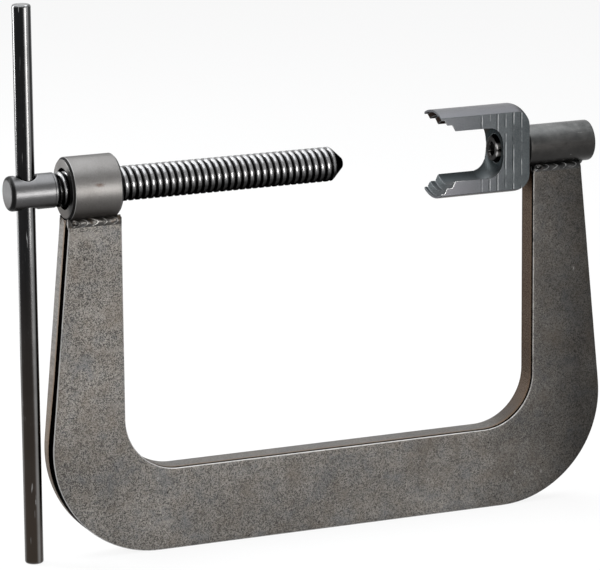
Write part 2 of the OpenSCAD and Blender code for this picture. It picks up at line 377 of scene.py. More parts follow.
class Desk:
    """The node tree of a material or of the world, with a short call for each node that is used."""

    def __init__(self, home: bpy.types.Material | bpy.types.World) -> None:
        """Starts on what the nodes belong to.

        Args:
            home: the material or the world.
        """
        home.use_nodes = True
        self.home, self.tree = home, home.node_tree
        self.shader = self.tree.nodes.get("Principled BSDF")

    def plug(self, target: Socket, value: Feed) -> None:
        """Links an input, or sets a constant on it.

        Args:
            target: the input.
            value: another node's output, a number, a vector or a colour.
        """
        if isinstance(value, Value):
            self.tree.links.new(value.socket, target)
        elif target.type == "RGBA":
            target.default_value = (*value, 1.0)
        else:
            target.default_value = value

    def node(self, kind: str, out: str | int, feeds: dict[str | int, Feed], **options: str) -> Value:
        """Adds a node.

        Args:
            kind: kind of node, without the words that all kinds start with.
            out: name or number of the output.
            feeds: what goes into each input, by name or number.
            options: the node's own settings.

        Returns:
            The output.
        """
        made = self.tree.nodes.new("ShaderNode" + kind)
        for key, choice in options.items():
            setattr(made, key, choice)
        for key, value in feeds.items():
            self.plug(made.inputs[key], value)
        return Value(self, made.outputs[out])

    def spot(self, scale: Triple = WHITE, move: Triple = BLACK) -> Value:
        """Place on the piece in metres, times a scale on each axis and then moved."""
        place = self.node("TexCoord", "Object", {})
        return self.node("Mapping", 0, {"Vector": place, "Scale": scale, "Location": move})

    def away(self, centre_m: Triple, stretch: Triple) -> Value:
        """Distance from a place on the piece, stretched on each axis."""
        back = tuple(-c * s for c, s in zip(centre_m, stretch))
        return self.node("VectorMath", "Value", {0: self.spot(stretch, back)}, operation="LENGTH")

    def normal(self, axis: str) -> Value:
        """How far the surface faces along one axis of the piece, from -1 to 1."""
        return self.node("TexCoord", "Normal", {}).part(axis)

    def noise(self, vector: Value, scale: float = 1.0, detail: float = 3.0, rough: float = 0.6) -> Value:
        """Cloudy noise from 0 to 1: blotches per metre, number of finer layers and their strength."""
        feeds = {"Vector": vector, "Scale": scale, "Detail": detail, "Roughness": rough}
        return self.node("TexNoise", "Fac", feeds)

    def cells(self, vector: Value, scale: float) -> Value:
        """Distance to the nearest of scattered dots, with scale dots per metre."""
        return self.node("TexVoronoi", "Distance", {"Vector": vector, "Scale": scale})

    def mix(self, share: Value, first: "Value | Triple", second: "Value | Triple") -> Value:
        """Goes from the first colour at share 0 to the second one at share 1."""
        return self.node("Mix", 2, {0: share, 6: first, 7: second}, data_type="RGBA")

    def worn(self) -> Value:
        """The rubbed-bright value that the mesh carries, with its painted glints and painted shade."""
        return self.node("Attribute", "Fac", {}, attribute_name="wear")

    def relief(self, height: Value, depth: float, under: Value | None = None) -> Value:
        """Bump of a depth in millimetres, which may lie on another one."""
        feeds = {"Strength": 1.0, "Distance": depth * MM, "Height": height}
        return self.node("Bump", 0, feeds | ({} if under is None else {"Normal": under}))

    def quiet(self, share: Value | float) -> None:
        """Weakens the glancing reflection, as rough scale and oil do: 0 leaves it, 1 takes it away."""
        tint = self.mix(share, WHITE, BLACK) if isinstance(share, Value) else (1.0 - share,) * 3
        self.plug(self.shader.inputs["Specular Tint"], tint)

    def done(self, colour: Value, rough: Value, normal: Value) -> None:
        """Closes the material as bare metal.

        Args:
            colour: the base colour.
            rough: the roughness.
            normal: the relief.
        """
        feeds = {"Base Color": colour, "Roughness": rough, "Normal": normal, "Metallic": 1.0}
        for key, value in feeds.items():
            self.plug(self.shader.inputs[key], value)

    def background(self) -> Value:
        """1 on rays that see the background: from the camera, from glossy and from clear surfaces."""
        rays = [self.node("LightPath", f"Is {ray} Ray", {}) for ray in ("Camera", "Glossy", "Transmission")]
        return rays[0].most(rays[1]).most(rays[2])

    def split(self, first: Value, second: Value, share: Value, end: str) -> None:
        """Mixes two shaders and links them to the tree's end node."""
        mixed = self.node("MixShader", 0, {0: share, 1: first, 2: second})
        self.plug(self.tree.nodes[end].inputs["Surface"], mixed)


# Finishes


@dataclass(frozen=True)
class Finish:
    """What all finishes have: a name, a dark and a light tone, and a tone of rubbed metal."""

    name: str
    dark: Triple
    light: Triple
    rubbed: Triple

    def material(self) -> bpy.types.Material:
        """Makes the material on first use.

        Returns:
            The material.
        """
        made = bpy.data.materials.get(self.name)
        if made is None:
            made = bpy.data.materials.new(self.name)
            self.paint(Desk(made))
        return made

    def paint(self, desk: Desk) -> None:
        """Builds the nodes; each finish has its own."""
        raise NotImplementedError


@dataclass(frozen=True)
class HotRolledPlate(Finish):
    """Grainy warm-grey plate: salt-and-pepper scale, brown and blue clouds, and burnt, lined cut edges.

    The front of a cut edge is black with a brown border, as the cutting flame leaves it, and the plate's
    corners are rubbed bright.
    """

    brown: Triple = (0.095, 0.08, 0.066)
    blue: Triple = (0.08, 0.085, 0.092)
    burnt: Triple = (0.003, 0.003, 0.003)
    scorched: Triple = (0.07, 0.052, 0.04)
    flame: Triple = (0.105, 0.07, 0.043)
    fork_leg_x_m: Pair = (0.076, 0.126)
    fork_leg_shade_share: float = 0.33
    even_x_m: Pair = (-0.09, 0.12)
    rise_m: Pair = (0.13, 0.26)
    dim_edge_x_m: Pair = (0.06, 0.105)
    grain_per_m: float = 1650.0
    fine_per_m: float = 3300.0
    patch_per_m: float = 240.0
    stain_per_m: float = 85.0
    cloud_per_m: float = 30.0
    smear_per_m: Triple = (45.0, 45.0, 170.0)
    pits_per_m: float = 120.0
    nicks_per_m: float = 95.0
    drag_per_m: Triple = (850.0, 30.0, 850.0)
    drag_wander_m: float = 0.0011
    throat_back_m: float = 0.003
    foot_z_m: Pair = (0.085, 0.035)
    foot_wider_m: float = 0.0026
    foot_brown_z_m: Pair = (0.11, 0.05)
    brown_y_m: Pair = (0.0014, -0.0006)
    black_y_m: Pair = (-0.0004, -0.0013)

    def paint(self, desk: Desk) -> None:
        """Scale grain over clouds, darker towards the fork leg as darker scale and painted shade, with burnt
        bands on the cut edges.

        Args:
            desk: the material's nodes.
        """
        here = desk.spot()
        x, z = here.part("X"), here.part("Z")
        grain = desk.noise(here, self.grain_per_m, 2.0, 0.7)
        fine = desk.noise(here, self.fine_per_m, 2.0)
        cloud = desk.noise(here, self.cloud_per_m, 5.0, 0.62)
        stain = desk.noise(desk.spot(move=(3.1, 0.4, 1.7)), self.stain_per_m, 5.0, 0.7)
        patch = desk.noise(desk.spot(move=(0.9, 0.2, 0.6)), self.patch_per_m)
        smear = desk.noise(desk.spot(self.smear_per_m, (0.2, 0.5, 0.9)), 1.0, 4.0, 0.65)
        speck = (grain + fine * 0.6).span(0.66, 0.95, -0.5, 0.5)
        speck = speck * patch.span(0.32, 0.68, 0.75, 1.15) + patch.span(0.3, 0.7, -0.05, 0.05)
        even = x.span(*self.even_x_m, 1.2, 0.8) * (z - x).span(*self.rise_m, 1.0, 1.7)
        tone = desk.mix(speck * even + 0.5, self.dark, self.light)
        tone = desk.mix(stain.span(0.5, 0.72, 0.0, 0.5), tone, self.brown)
        tone = desk.mix(stain.span(0.48, 0.3, 0.0, 0.5), tone, self.blue)
        tone = desk.mix(smear.span(0.58, 0.72, 0.0, 0.4), tone, self.light)
        # darker towards the fork leg: partly a darker scale, partly painted shade
        shade = cloud.span(0.3, 0.7, 0.72, 1.2) * x.span(*self.fork_leg_x_m, 1.0, self.fork_leg_shade_share)
        tone = desk.node("VectorMath", 0, {0: tone, "Scale": shade}, operation="SCALE")
        pits = desk.cells(here, self.pits_per_m).span(0.035, 0.07, 0.8, 0.0)
        dots = desk.cells(desk.spot((1.0, 1.0, 0.45), (0.3, 0.1, 0.2)), self.nicks_per_m)
        nicks = dots.span(0.03, 0.06, 0.5, 0.0) * fine.span(0.45, 0.6)
        colour = desk.mix(nicks, desk.mix(pits, tone, self.burnt), self.rubbed)
        colour, lines = self.cut_edge(desk, here, colour)
        broken = (grain + stain).span(0.75, 1.1, 0.6, 1.1) * x.span(*self.dim_edge_x_m, 1.0, 0.62)
        colour = desk.mix((desk.worn() * broken).span(0.3, 0.75), colour, self.rubbed)
        rough = (grain + cloud * 0.5).span(0.45, 1.05, 0.38, 0.6)
        desk.done(colour, rough, desk.relief(grain + fine * 0.5, 0.12, lines))

    def cut_edge(self, desk: Desk, here: Value, colour: Value) -> tuple[Value, Value]:
        """Burnt band along the front of a cut edge, wider at the foot, and drag lines across the edge.

        Args:
            desk: the material's nodes.
            here: place on the piece.
            colour: colour of the scale.

        Returns:
            The colour with the band, and the relief of the lines.
        """
        edge, worn, height = abs(desk.normal("Y")).span(0.62, 0.4), desk.worn(), here.part("Z")
        outer = worn.span(-0.5, -0.9)
        lines = desk.noise(desk.spot(self.drag_per_m))
        depth = here.part("Y") + lines * self.drag_wander_m + worn.span(-0.3, -0.9, self.throat_back_m, 0.0)
        depth = depth - outer * height.span(*self.foot_z_m, 0.0, self.foot_wider_m)
        colour = desk.mix(edge * outer * lines.span(0.48, 0.64, 0.0, 0.6), colour, self.dark)
        colour = desk.mix(edge * depth.span(*self.brown_y_m, 0.0, 0.85), colour, self.flame)
        colour = desk.mix(edge * outer * height.span(*self.foot_brown_z_m, 0.0, 0.6), colour, self.flame)
        throat = worn.span(-0.9, -0.4) * worn.span(0.0, -0.2)
        throat = throat * abs(desk.normal("X")).span(0.2, 0.95, 0.0, 0.75)
        colour = desk.mix(throat, colour, self.scorched)
        black = edge * depth.span(*self.black_y_m, 0.0, 0.97)
        desk.quiet(black.most(throat).span(0.0, 1.0, 0.1, 1.0))
        return desk.mix(black, colour, self.burnt), desk.relief(lines * edge, 0.2)


@dataclass(frozen=True)
class TurnedSteel(Finish):
    """Smooth lathe-turned steel: fine rings round the axis, a satin sparkle, a few small rust spots, and
    painted shade below and on dark corners.
    """

    rust: Triple = (0.04, 0.022, 0.015)
    painted_dark: Triple = (0.004, 0.004, 0.004)
    # under: colour of the painted shade on the underside
    under: Triple = (0.03, 0.026, 0.023)
    shade_below_z_m: Pair = (0.1706, 0.1614)
    scar_m: Triple = (-0.1155, -0.0140, 0.1748)
    scar_r_m: Pair = (0.0021, 0.0012)
    scar_ragged_m: float = 0.0018
    satin: Pair = (0.27, 0.42)
    rings_per_m: Triple = (5200.0, 24.0, 24.0)
    sparkle_per_m: float = 2300.0
    cloud_per_m: float = 55.0
    spots_per_m: float = 190.0

    def paint(self, desk: Desk) -> None:
        """Turning rings along X, a fine sparkle, painted shade on the underside, rust spots, and corners
        rubbed bright, some painted dark as shade.

        Args:
            desk: the material's nodes.
        """
        here, worn = desk.spot(), desk.worn()
        rings = desk.noise(desk.spot(self.rings_per_m))
        sparkle = desk.noise(here, self.sparkle_per_m, 2.0, 0.7)
        cloud = desk.noise(here, self.cloud_per_m, 4.0)
        tone = desk.mix((sparkle + cloud).span(0.75, 1.25), self.dark, self.light)
        # painted shade: darker below the axis
        tone = desk.mix(here.part("Z").span(*self.shade_below_z_m, 0.0, 0.8), tone, self.under)
        spot = desk.noise(desk.spot(move=(0.7, 2.2, 0.3)), self.spots_per_m).span(0.72, 0.78, 0.0, 0.8)
        scar = desk.away(self.scar_m, (0.45, 1.0, 1.0)) + sparkle * self.scar_ragged_m
        tone = desk.mix(spot.most(scar.span(*self.scar_r_m, 0.0, 0.7)), tone, self.rust)
        tone = desk.mix(worn.span(0.15, 0.8, 0.0, 0.8), tone, self.rubbed)
        # painted shade where the mesh's wear is below 0: the boss's dark corner slopes, the shadow on its
        # face towards the head and the head's dark front rounding; the turned line's groove is darkened the
        # same way
        tone = desk.mix(worn.span(-0.1, -0.6, 0.0, 0.92), tone, self.painted_dark)
        upward = abs(desk.normal("Z")).span(0.5, 0.95, 0.0, 0.4)
        desk.quiet(upward.most(abs(desk.normal("X")).span(0.3, 0.8, 0.0, 0.4)))
        rough = (sparkle + rings).span(0.6, 1.4, *self.satin)
        desk.done(tone, rough, desk.relief(rings, 0.012, desk.relief(sparkle, 0.04)))


@dataclass(frozen=True)
class MottledOxide(Finish):
    """Dark oxidised bar stock: painted darker below as shade, with blotches, specks and long scratches."""

    under: Triple = (0.021, 0.0195, 0.0185)
    shade_below_z_m: Pair = (0.1782, 0.1726)
    scratch_per_m: Triple = (60.0, 900.0, 900.0)
    blotch_per_m: float = 260.0
    cloud_per_m: float = 60.0
    grain_per_m: float = 2100.0
    dots_per_m: float = 330.0

    def paint(self, desk: Desk) -> None:
        """Blotches of two sizes, scattered dots and thin scratches stretched along X.

        Args:
            desk: the material's nodes.
        """
        here = desk.spot()
        blotch, cloud = desk.noise(here, self.blotch_per_m, 5.0, 0.7), desk.noise(here, self.cloud_per_m)
        grain = desk.noise(here, self.grain_per_m, 2.0)
        tone = desk.mix((blotch + cloud).span(0.75, 1.25), self.dark, self.light)
        # painted shade: darker towards the bottom of the stub
        tone = desk.mix(here.part("Z").span(*self.shade_below_z_m, 0.0, 0.85), tone, self.under)
        dots = desk.cells(here, self.dots_per_m).span(0.085, 0.05) * cloud.span(0.45, 0.6)
        scratch = desk.noise(desk.spot(self.scratch_per_m), 1.0, 2.0, 0.5).span(0.70, 0.74)
        marks = dots.most(scratch * blotch.span(0.45, 0.62)).most((desk.worn() * blotch).span(0.2, 0.5))
        rough = (blotch + grain * 0.5).span(0.45, 1.1, 0.27, 0.5)
        relief = desk.relief(grain, 0.02, desk.relief(blotch, 0.05))
        desk.done(desk.mix(marks, tone, self.rubbed), rough, relief)


@dataclass(frozen=True)
class OiledThread(Finish):
    """Oiled dark steel, bright where crests and corners are rubbed, with fine rings round the axis."""

    rings_per_m: Triple = (6800.0, 30.0, 30.0)
    grain_per_m: float = 1800.0
    film_per_m: float = 120.0

    def paint(self, desk: Desk) -> None:
        """Rubbed value of the mesh broken up by grain, over a dark film with turning rings.

        Args:
            desk: the material's nodes.
        """
        here = desk.spot()
        grain = desk.noise(here, self.grain_per_m)
        rings = desk.noise(desk.spot(self.rings_per_m), 1.0, 2.0)
        film = desk.mix(desk.noise(here, self.film_per_m, 4.0).span(0.3, 0.7), self.dark, self.light)
        bare = desk.worn() * grain.span(0.25, 0.6, 0.55, 1.0)
        desk.quiet(bare.span(0.15, 0.6, 0.8, 0.0))
        rough = (grain + rings).span(0.6, 1.4, 0.17, 0.36)
        relief = desk.relief(rings, 0.008, desk.relief(grain, 0.012))
        desk.done(desk.mix(bare, film, self.rubbed), rough, relief)


@dataclass(frozen=True)
class PolishedBar(Finish):
    """Polished near-black rod: drawn lines along it, thin rub marks, a haze, and a painted brownish sheen
    towards its foot.
    """

    foot_sheen: Triple = (0.046, 0.036, 0.0285)
    foot_sheen_z_m: Pair = (0.14, 0.02)
    drawn_per_m: Triple = (2600.0, 2600.0, 14.0)
    rub_per_m: Triple = (1300.0, 1300.0, 95.0)
    haze_per_m: float = 70.0

    def paint(self, desk: Desk) -> None:
        """Noise stretched along Z for the drawn lines and the rub marks.

        Args:
            desk: the material's nodes.
        """
        here = desk.spot()
        lines, haze = desk.noise(desk.spot(self.drawn_per_m)), desk.noise(here, self.haze_per_m, 5.0, 0.65)
        rub, both = desk.noise(desk.spot(self.rub_per_m), 1.0, 2.0, 0.5), lines + haze
        tone = desk.mix(both.span(0.7, 1.35), self.dark, self.light)
        # painted sheen: a lighter brownish base towards the foot
        tone = desk.mix(here.part("Z").span(*self.foot_sheen_z_m, 0.0, 0.7), tone, self.foot_sheen)
        # the mesh's wear carries rub marks, bare cut ends and painted highlight streaks
        rub_and_highlight = (desk.worn() * both.span(0.6, 1.2, 0.7, 1.1)).span(0.05, 1.0, 0.0, 0.95)
        marks = (rub.span(0.68, 0.74, 0.0, 0.7) * haze.span(0.45, 0.65)).most(rub_and_highlight)
        rough = both.span(0.7, 1.4, 0.15, 0.24)
        desk.done(desk.mix(marks, tone, self.rubbed), rough, desk.relief(lines, 0.004))


@dataclass(frozen=True)
class MilledSlate(Finish):
    """Slate-grey milled and blasted steel, with broken cutter lines across its flat sides."""

    first_line_m: float = 0.0742
    line_step_m: float = 0.00406
    last_line_m: float = 0.0965
    line_wander_m: float = 0.0002
    bored_r_m: float = 0.0197
    bored_x_m: float = 0.0915
    sheen_y_m: Pair = (0.008, -0.0085)
    pocket_shade_m: Pair = (0.026, 0.045)
    arm_x_m: Pair = (0.09, 0.058)
    arm_z_m: Pair = (0.01, -0.01)
    grain_per_m: float = 1700.0
    cloud_per_m: float = 75.0
    sweep_per_m: Triple = (420.0, 420.0, 22.0)
    wander_per_m: Triple = (0.0, 0.0, 160.0)
    break_per_m: Triple = (180.0, 180.0, 130.0)
    shade: Triple = (0.06, 0.042, 0.033)
    pocket_shade: Triple = (0.022, 0.025, 0.026)
    groove_shade: Triple = (0.009, 0.010, 0.0105)
    turned: Triple = (0.1, 0.1, 0.108)

    def paint(self, desk: Desk) -> None:
        """Blasted grain everywhere, paler turned and arm faces with the turned face partly painted sheen,
        painted sheen on the bore's lower face near the front, a pocket painted dark as shade, painted shade
        on faces that look down, and cutter lines on the flats.

        Args:
            desk: the material's nodes.
        """
        here, z_face = desk.spot(), desk.normal("Z")
        x, y, z = here.part("X"), here.part("Y"), here.part("Z") - AXIS_Z_M
        sideways = abs(desk.normal("Y"))
        flat, curved = sideways.span(0.9, 0.97), sideways.span(0.97, 0.9)
        grain, cloud = desk.noise(here, self.grain_per_m, 3.0, 0.65), desk.noise(here, self.cloud_per_m, 4.0)
        sweep = desk.noise(desk.spot(self.sweep_per_m))
        tone = desk.mix((grain + cloud).span(0.75, 1.3), self.dark, self.light)
        tone = desk.mix(sweep.span(0.5, 0.75, 0.0, 0.35), tone, self.light)
        arm = x.span(*self.arm_x_m) * z.span(*self.arm_z_m, 0.5, 1.0)
        tone = desk.mix(arm * flat, tone, self.turned)
        reach = desk.away((0.0, 0.0, AXIS_Z_M), (0.0, 1.0, 1.0))
        # paler turned outside: a lighter turned finish, partly painted sheen
        tone = desk.mix(curved * reach.above(self.bored_r_m) * 0.85, tone, self.turned)
        walls = reach.below(self.bored_r_m) * x.below(self.bored_x_m) * curved
        # painted sheen: the bore's upward faces lighter towards the front
        painted_sheen = z_face.span(0.3, 0.8) * y.span(*self.sheen_y_m)
        tone = desk.mix(walls * painted_sheen * 0.6, tone, self.rubbed)
        # painted shade in the pocket, darker towards the back and deeper in
        pocket = walls * painted_sheen.span(0.0, 1.0, 1.0, 0.05)
        deep = (y + x * 0.5).span(*self.pocket_shade_m, 0.1, 0.95)
        tone = desk.mix(pocket * deep, tone, self.pocket_shade)
        below = z_face.span(-0.15, -0.45, 0.0, 0.6)
        tone = desk.mix(below * curved, tone, self.shade)
        # the glancing reflection is weakened where shade is painted
        shaded = (pocket * 0.75).most(below * 0.5)
        desk.quiet(shaded.most(abs(desk.normal("X")).span(0.15, 0.5, 0.0, 0.6)))
        colour, step = self.cutter_lines(desk, x, flat, tone)
        rough = (grain + cloud).span(0.6, 1.4, 0.3, 0.5)
        desk.done(colour, rough, desk.relief(step, 0.03, desk.relief(grain, 0.03)))

    def cutter_lines(self, desk: Desk, x: Value, flat: Value, tone: Value) -> tuple[Value, Value]:
        """Bright lines at equal steps along X, each with a dark groove beside it, broken along Z; the bright
        line and the dark groove are partly painted highlight and shade of each cutter step.

        Args:
            desk: the material's nodes.
            x: place along the fork.
            flat: 1 on the flat sides.
            tone: colour of the steel.

        Returns:
            The colour with the lines, and the height of the steps between them.
        """
        wander = desk.noise(desk.spot(self.wander_per_m)).span(0.0, 1.0, -1.0, 1.0)
        count = (x + wander * self.line_wander_m - self.first_line_m) / self.line_step_m
        off = count - count.math("ROUND")
        # each cutter line partly painted as highlight, its groove partly painted as shade
        line = abs(off - 0.05).span(0.04, 0.08, 1.0, 0.0)
        groove_shade = abs(off + 0.07).span(0.05, 0.09, 1.0, 0.0)
        seen = desk.noise(desk.spot(self.break_per_m), 1.0, 2.0).span(0.4, 0.56)
        shown = seen * flat * x.above(self.first_line_m - MM) * x.below(self.last_line_m)
        colour = desk.mix(groove_shade * shown * 0.85, tone, self.groove_shade)
        return desk.mix(line * shown * 0.42, colour, self.rubbed), count.math("FRACT") * shown


@dataclass(frozen=True)
class RubbedEdge(Finish):
    """Handled edges of the fork: slate worn a little lighter, and a painted glint of bare metal on the border
    at the tips.
    """

    glint_x_m: Pair = (0.067, 0.061)
    glint_y_m: float = 0.0091
    glint_z_m: float = 0.0176
    glint_arm_z_m: Pair = (0.18, 0.165)
    grain_per_m: float = 1700.0
    quiet_share: float = 0.4

    def paint(self, desk: Desk) -> None:
        """Grain between two tones, and a painted glint of bare metal near the tips on the edges that face
        partly sideways.

        Args:
            desk: the material's nodes.
        """
        here = desk.spot()
        y, z = here.part("Y"), here.part("Z")
        grain = desk.noise(here, self.grain_per_m, 3.0, 0.65)
        tone = desk.mix(grain.span(0.3, 0.7), self.dark, self.light)
        # painted glint: bare metal on the tips' borders, weaker on the upper arm
        bare = here.part("X").span(*self.glint_x_m) * abs(desk.normal("Y")).span(0.25, 0.5)
        bare = bare * abs(z - AXIS_Z_M).below(self.glint_z_m) * abs(y).above(self.glint_y_m)
        bare = bare * z.span(*self.glint_arm_z_m, 0.25, 1.0) * grain.span(0.35, 0.55, 0.3, 1.0)
        desk.quiet(self.quiet_share)
        rough = grain.span(0.3, 0.7, 0.28, 0.45)
        desk.done(desk.mix(bare, tone, self.rubbed), rough, desk.relief(grain, 0.02))


@dataclass(frozen=True)
class BlackOxide(Finish):
    """Black oxide on a bought screw, brown-black with a few rubbed spots."""

    quiet_share: float = 0.4
    grain_per_m: float = 2400.0
    cloud_per_m: float = 240.0

    def paint(self, desk: Desk) -> None:
        """Fine grain between two near-blacks, and bare metal where the oxide has rubbed thin.

        Args:
            desk: the material's nodes.
        """
        here = desk.spot()
        grain, cloud = desk.noise(here, self.grain_per_m), desk.noise(here, self.cloud_per_m, 4.0)
        tone = desk.mix((grain + cloud).span(0.7, 1.3), self.dark, self.light)
        thin = cloud.span(0.62, 0.75, 0.0, 0.12).most(desk.worn().span(0.2, 1.0))
        desk.quiet(self.quiet_share)
        rough = grain.span(0.3, 0.7, 0.24, 0.42)
        desk.done(desk.mix(thin, tone, self.rubbed), rough, desk.relief(grain, 0.015))


@dataclass(frozen=True)
class WeldMetal(Finish):
    """Weld metal: dark grey with brown and blue heat tints, and painted glints on the tops of its ripples."""

    straw: Triple = (0.13, 0.085, 0.05)
    blue: Triple = (0.036, 0.041, 0.05)
    grain_per_m: float = 1500.0
    tint_per_m: float = 210.0

    def paint(self, desk: Desk) -> None:
        """Heat tints in clouds, and painted glints on the ripple tops by the mesh's wear value.

        Args:
            desk: the material's nodes.
        """
        here = desk.spot()
        grain = desk.noise(here, self.grain_per_m, 4.0, 0.7)
        tint = desk.noise(here, self.tint_per_m, 4.0, 0.65)
        tone = desk.mix(grain.span(0.3, 0.7), self.dark, self.light)
        tone = desk.mix(tint.span(0.55, 0.75, 0.0, 0.6), tone, self.straw)
        tone = desk.mix(tint.span(0.42, 0.28, 0.0, 0.6), tone, self.blue)
        # painted glints on the ripples' fronts, carried by the mesh's wear
        colour = desk.mix((desk.worn() * grain).span(0.2, 0.6), tone, self.rubbed)
        desk.done(colour, (grain + tint).span(0.6, 1.4, 0.3, 0.5), desk.relief(grain, 0.05))


PLATE_STEEL = HotRolledPlate(
    "hot_rolled_plate", (0.028, 0.027, 0.026), (0.176, 0.166, 0.154), (0.36, 0.355, 0.35))
TURNED_STEEL = TurnedSteel(
    "turned_boss", (0.087, 0.083, 0.08), (0.132, 0.128, 0.125), (0.3, 0.3, 0.3), satin=(0.36, 0.52))
STUB_STEEL = MottledOxide("mottled_oxide", (0.06, 0.062, 0.062), (0.112, 0.113, 0.112), (0.25, 0.25, 0.25))
SCREW_STEEL = OiledThread("oiled_thread", (0.005, 0.005, 0.005), (0.011, 0.0105, 0.01), (0.24, 0.24, 0.243))
# the head is painted darker below its axis as shade
HEAD_STEEL = TurnedSteel(
    "turned_head", (0.08, 0.08, 0.082), (0.114, 0.113, 0.115), (0.36, 0.36, 0.37),
    under=(0.02, 0.0175, 0.016), shade_below_z_m=(0.1710, 0.1652))
BAR_STEEL = PolishedBar("polished_bar", (0.010, 0.010, 0.0105), (0.018, 0.018, 0.0185), (0.42, 0.42, 0.42))
FORK_STEEL = MilledSlate("milled_slate", (0.032, 0.036, 0.0385), (0.058, 0.064, 0.067), (0.36, 0.37, 0.38))
FORK_EDGE = RubbedEdge("rubbed_slate", (0.045, 0.049, 0.052), (0.09, 0.095, 0.098), (0.6, 0.6, 0.6))
CAP_OXIDE = BlackOxide("rubbed_oxide", (0.005, 0.005, 0.005), (0.012, 0.0115, 0.011), (0.6, 0.59, 0.58))
WELD_METAL = WeldMetal("rippled_weld", (0.032, 0.031, 0.03), (0.086, 0.082, 0.077), (0.32, 0.31, 0.3))
SCALED_WELD = WeldMetal(
    "scaled_weld", (0.018, 0.018, 0.0178), (0.045, 0.045, 0.045), (0.2, 0.2, 0.2),
    straw=(0.036, 0.027, 0.019), blue=(0.017, 0.019, 0.022))


def settle(piece: bpy.types.Object, body: Body, finish: Finish, node: str) -> None:
    """Gives a piece its finish, puts it on its body and lets it stand for its solid.

    Args:
        piece: the finished piece.
        body: the body that carries it.
        finish: what the piece is finished in.
        node: the solid that it stands for.
    """
    piece.data.materials.append(finish.material())
    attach(piece, body.value)
    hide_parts(node)
    LOG.info("%s: %d faces on %s", piece.name, len(piece.data.polygons), body.value)


def second_finish(piece: bpy.types.Object, finish: Finish, chosen: NDArray[np.bool_]) -> None:
    """Gives the chosen faces of a piece another finish."""
    piece.data.materials.append(finish.material())
    piece.data.polygons.foreach_set("material_index", chosen.astype(np.int32))


# The welded frame


@dataclass(frozen=True)
class WeldSeat:
    """The corner under a boss and on the plate that a bead lies in, as y and z from the screw's line."""

    boss_r: float
    under_deg: float
    ends_x: Pair
    plate_half: float = 6.35
    leg: float = 4.2

    def toes(self) -> tuple[Array, Array]:
        """Places the bead's two toes.

        Returns:
            The toe on the front of the plate, one leg below the boss, and the toe under the boss.
        """
        under = np.radians(self.under_deg)
        root_z = -np.sqrt(self.boss_r**2 - self.plate_half**2)
        boss_toe = -self.boss_r * np.array([np.sin(under), np.cos(under)])
        return np.array([-self.plate_half, root_z - self.leg]), boss_toe

    def leg_top(self, y: Array) -> Array:
        """Height of the leg top: on the boss in the middle, and along the line between the toes outside it.

        Args:
            y: places through the plate.

        Returns:
            The heights.
        """
        plate_toe, boss_toe = self.toes()
        bevel = np.interp(np.abs(y), (-boss_toe[0], self.plate_half), (boss_toe[1], plate_toe[1]))
        return AXIS_Z + np.where(np.abs(y) > -boss_toe[0], bevel, -np.sqrt(self.boss_r**2 - y**2))


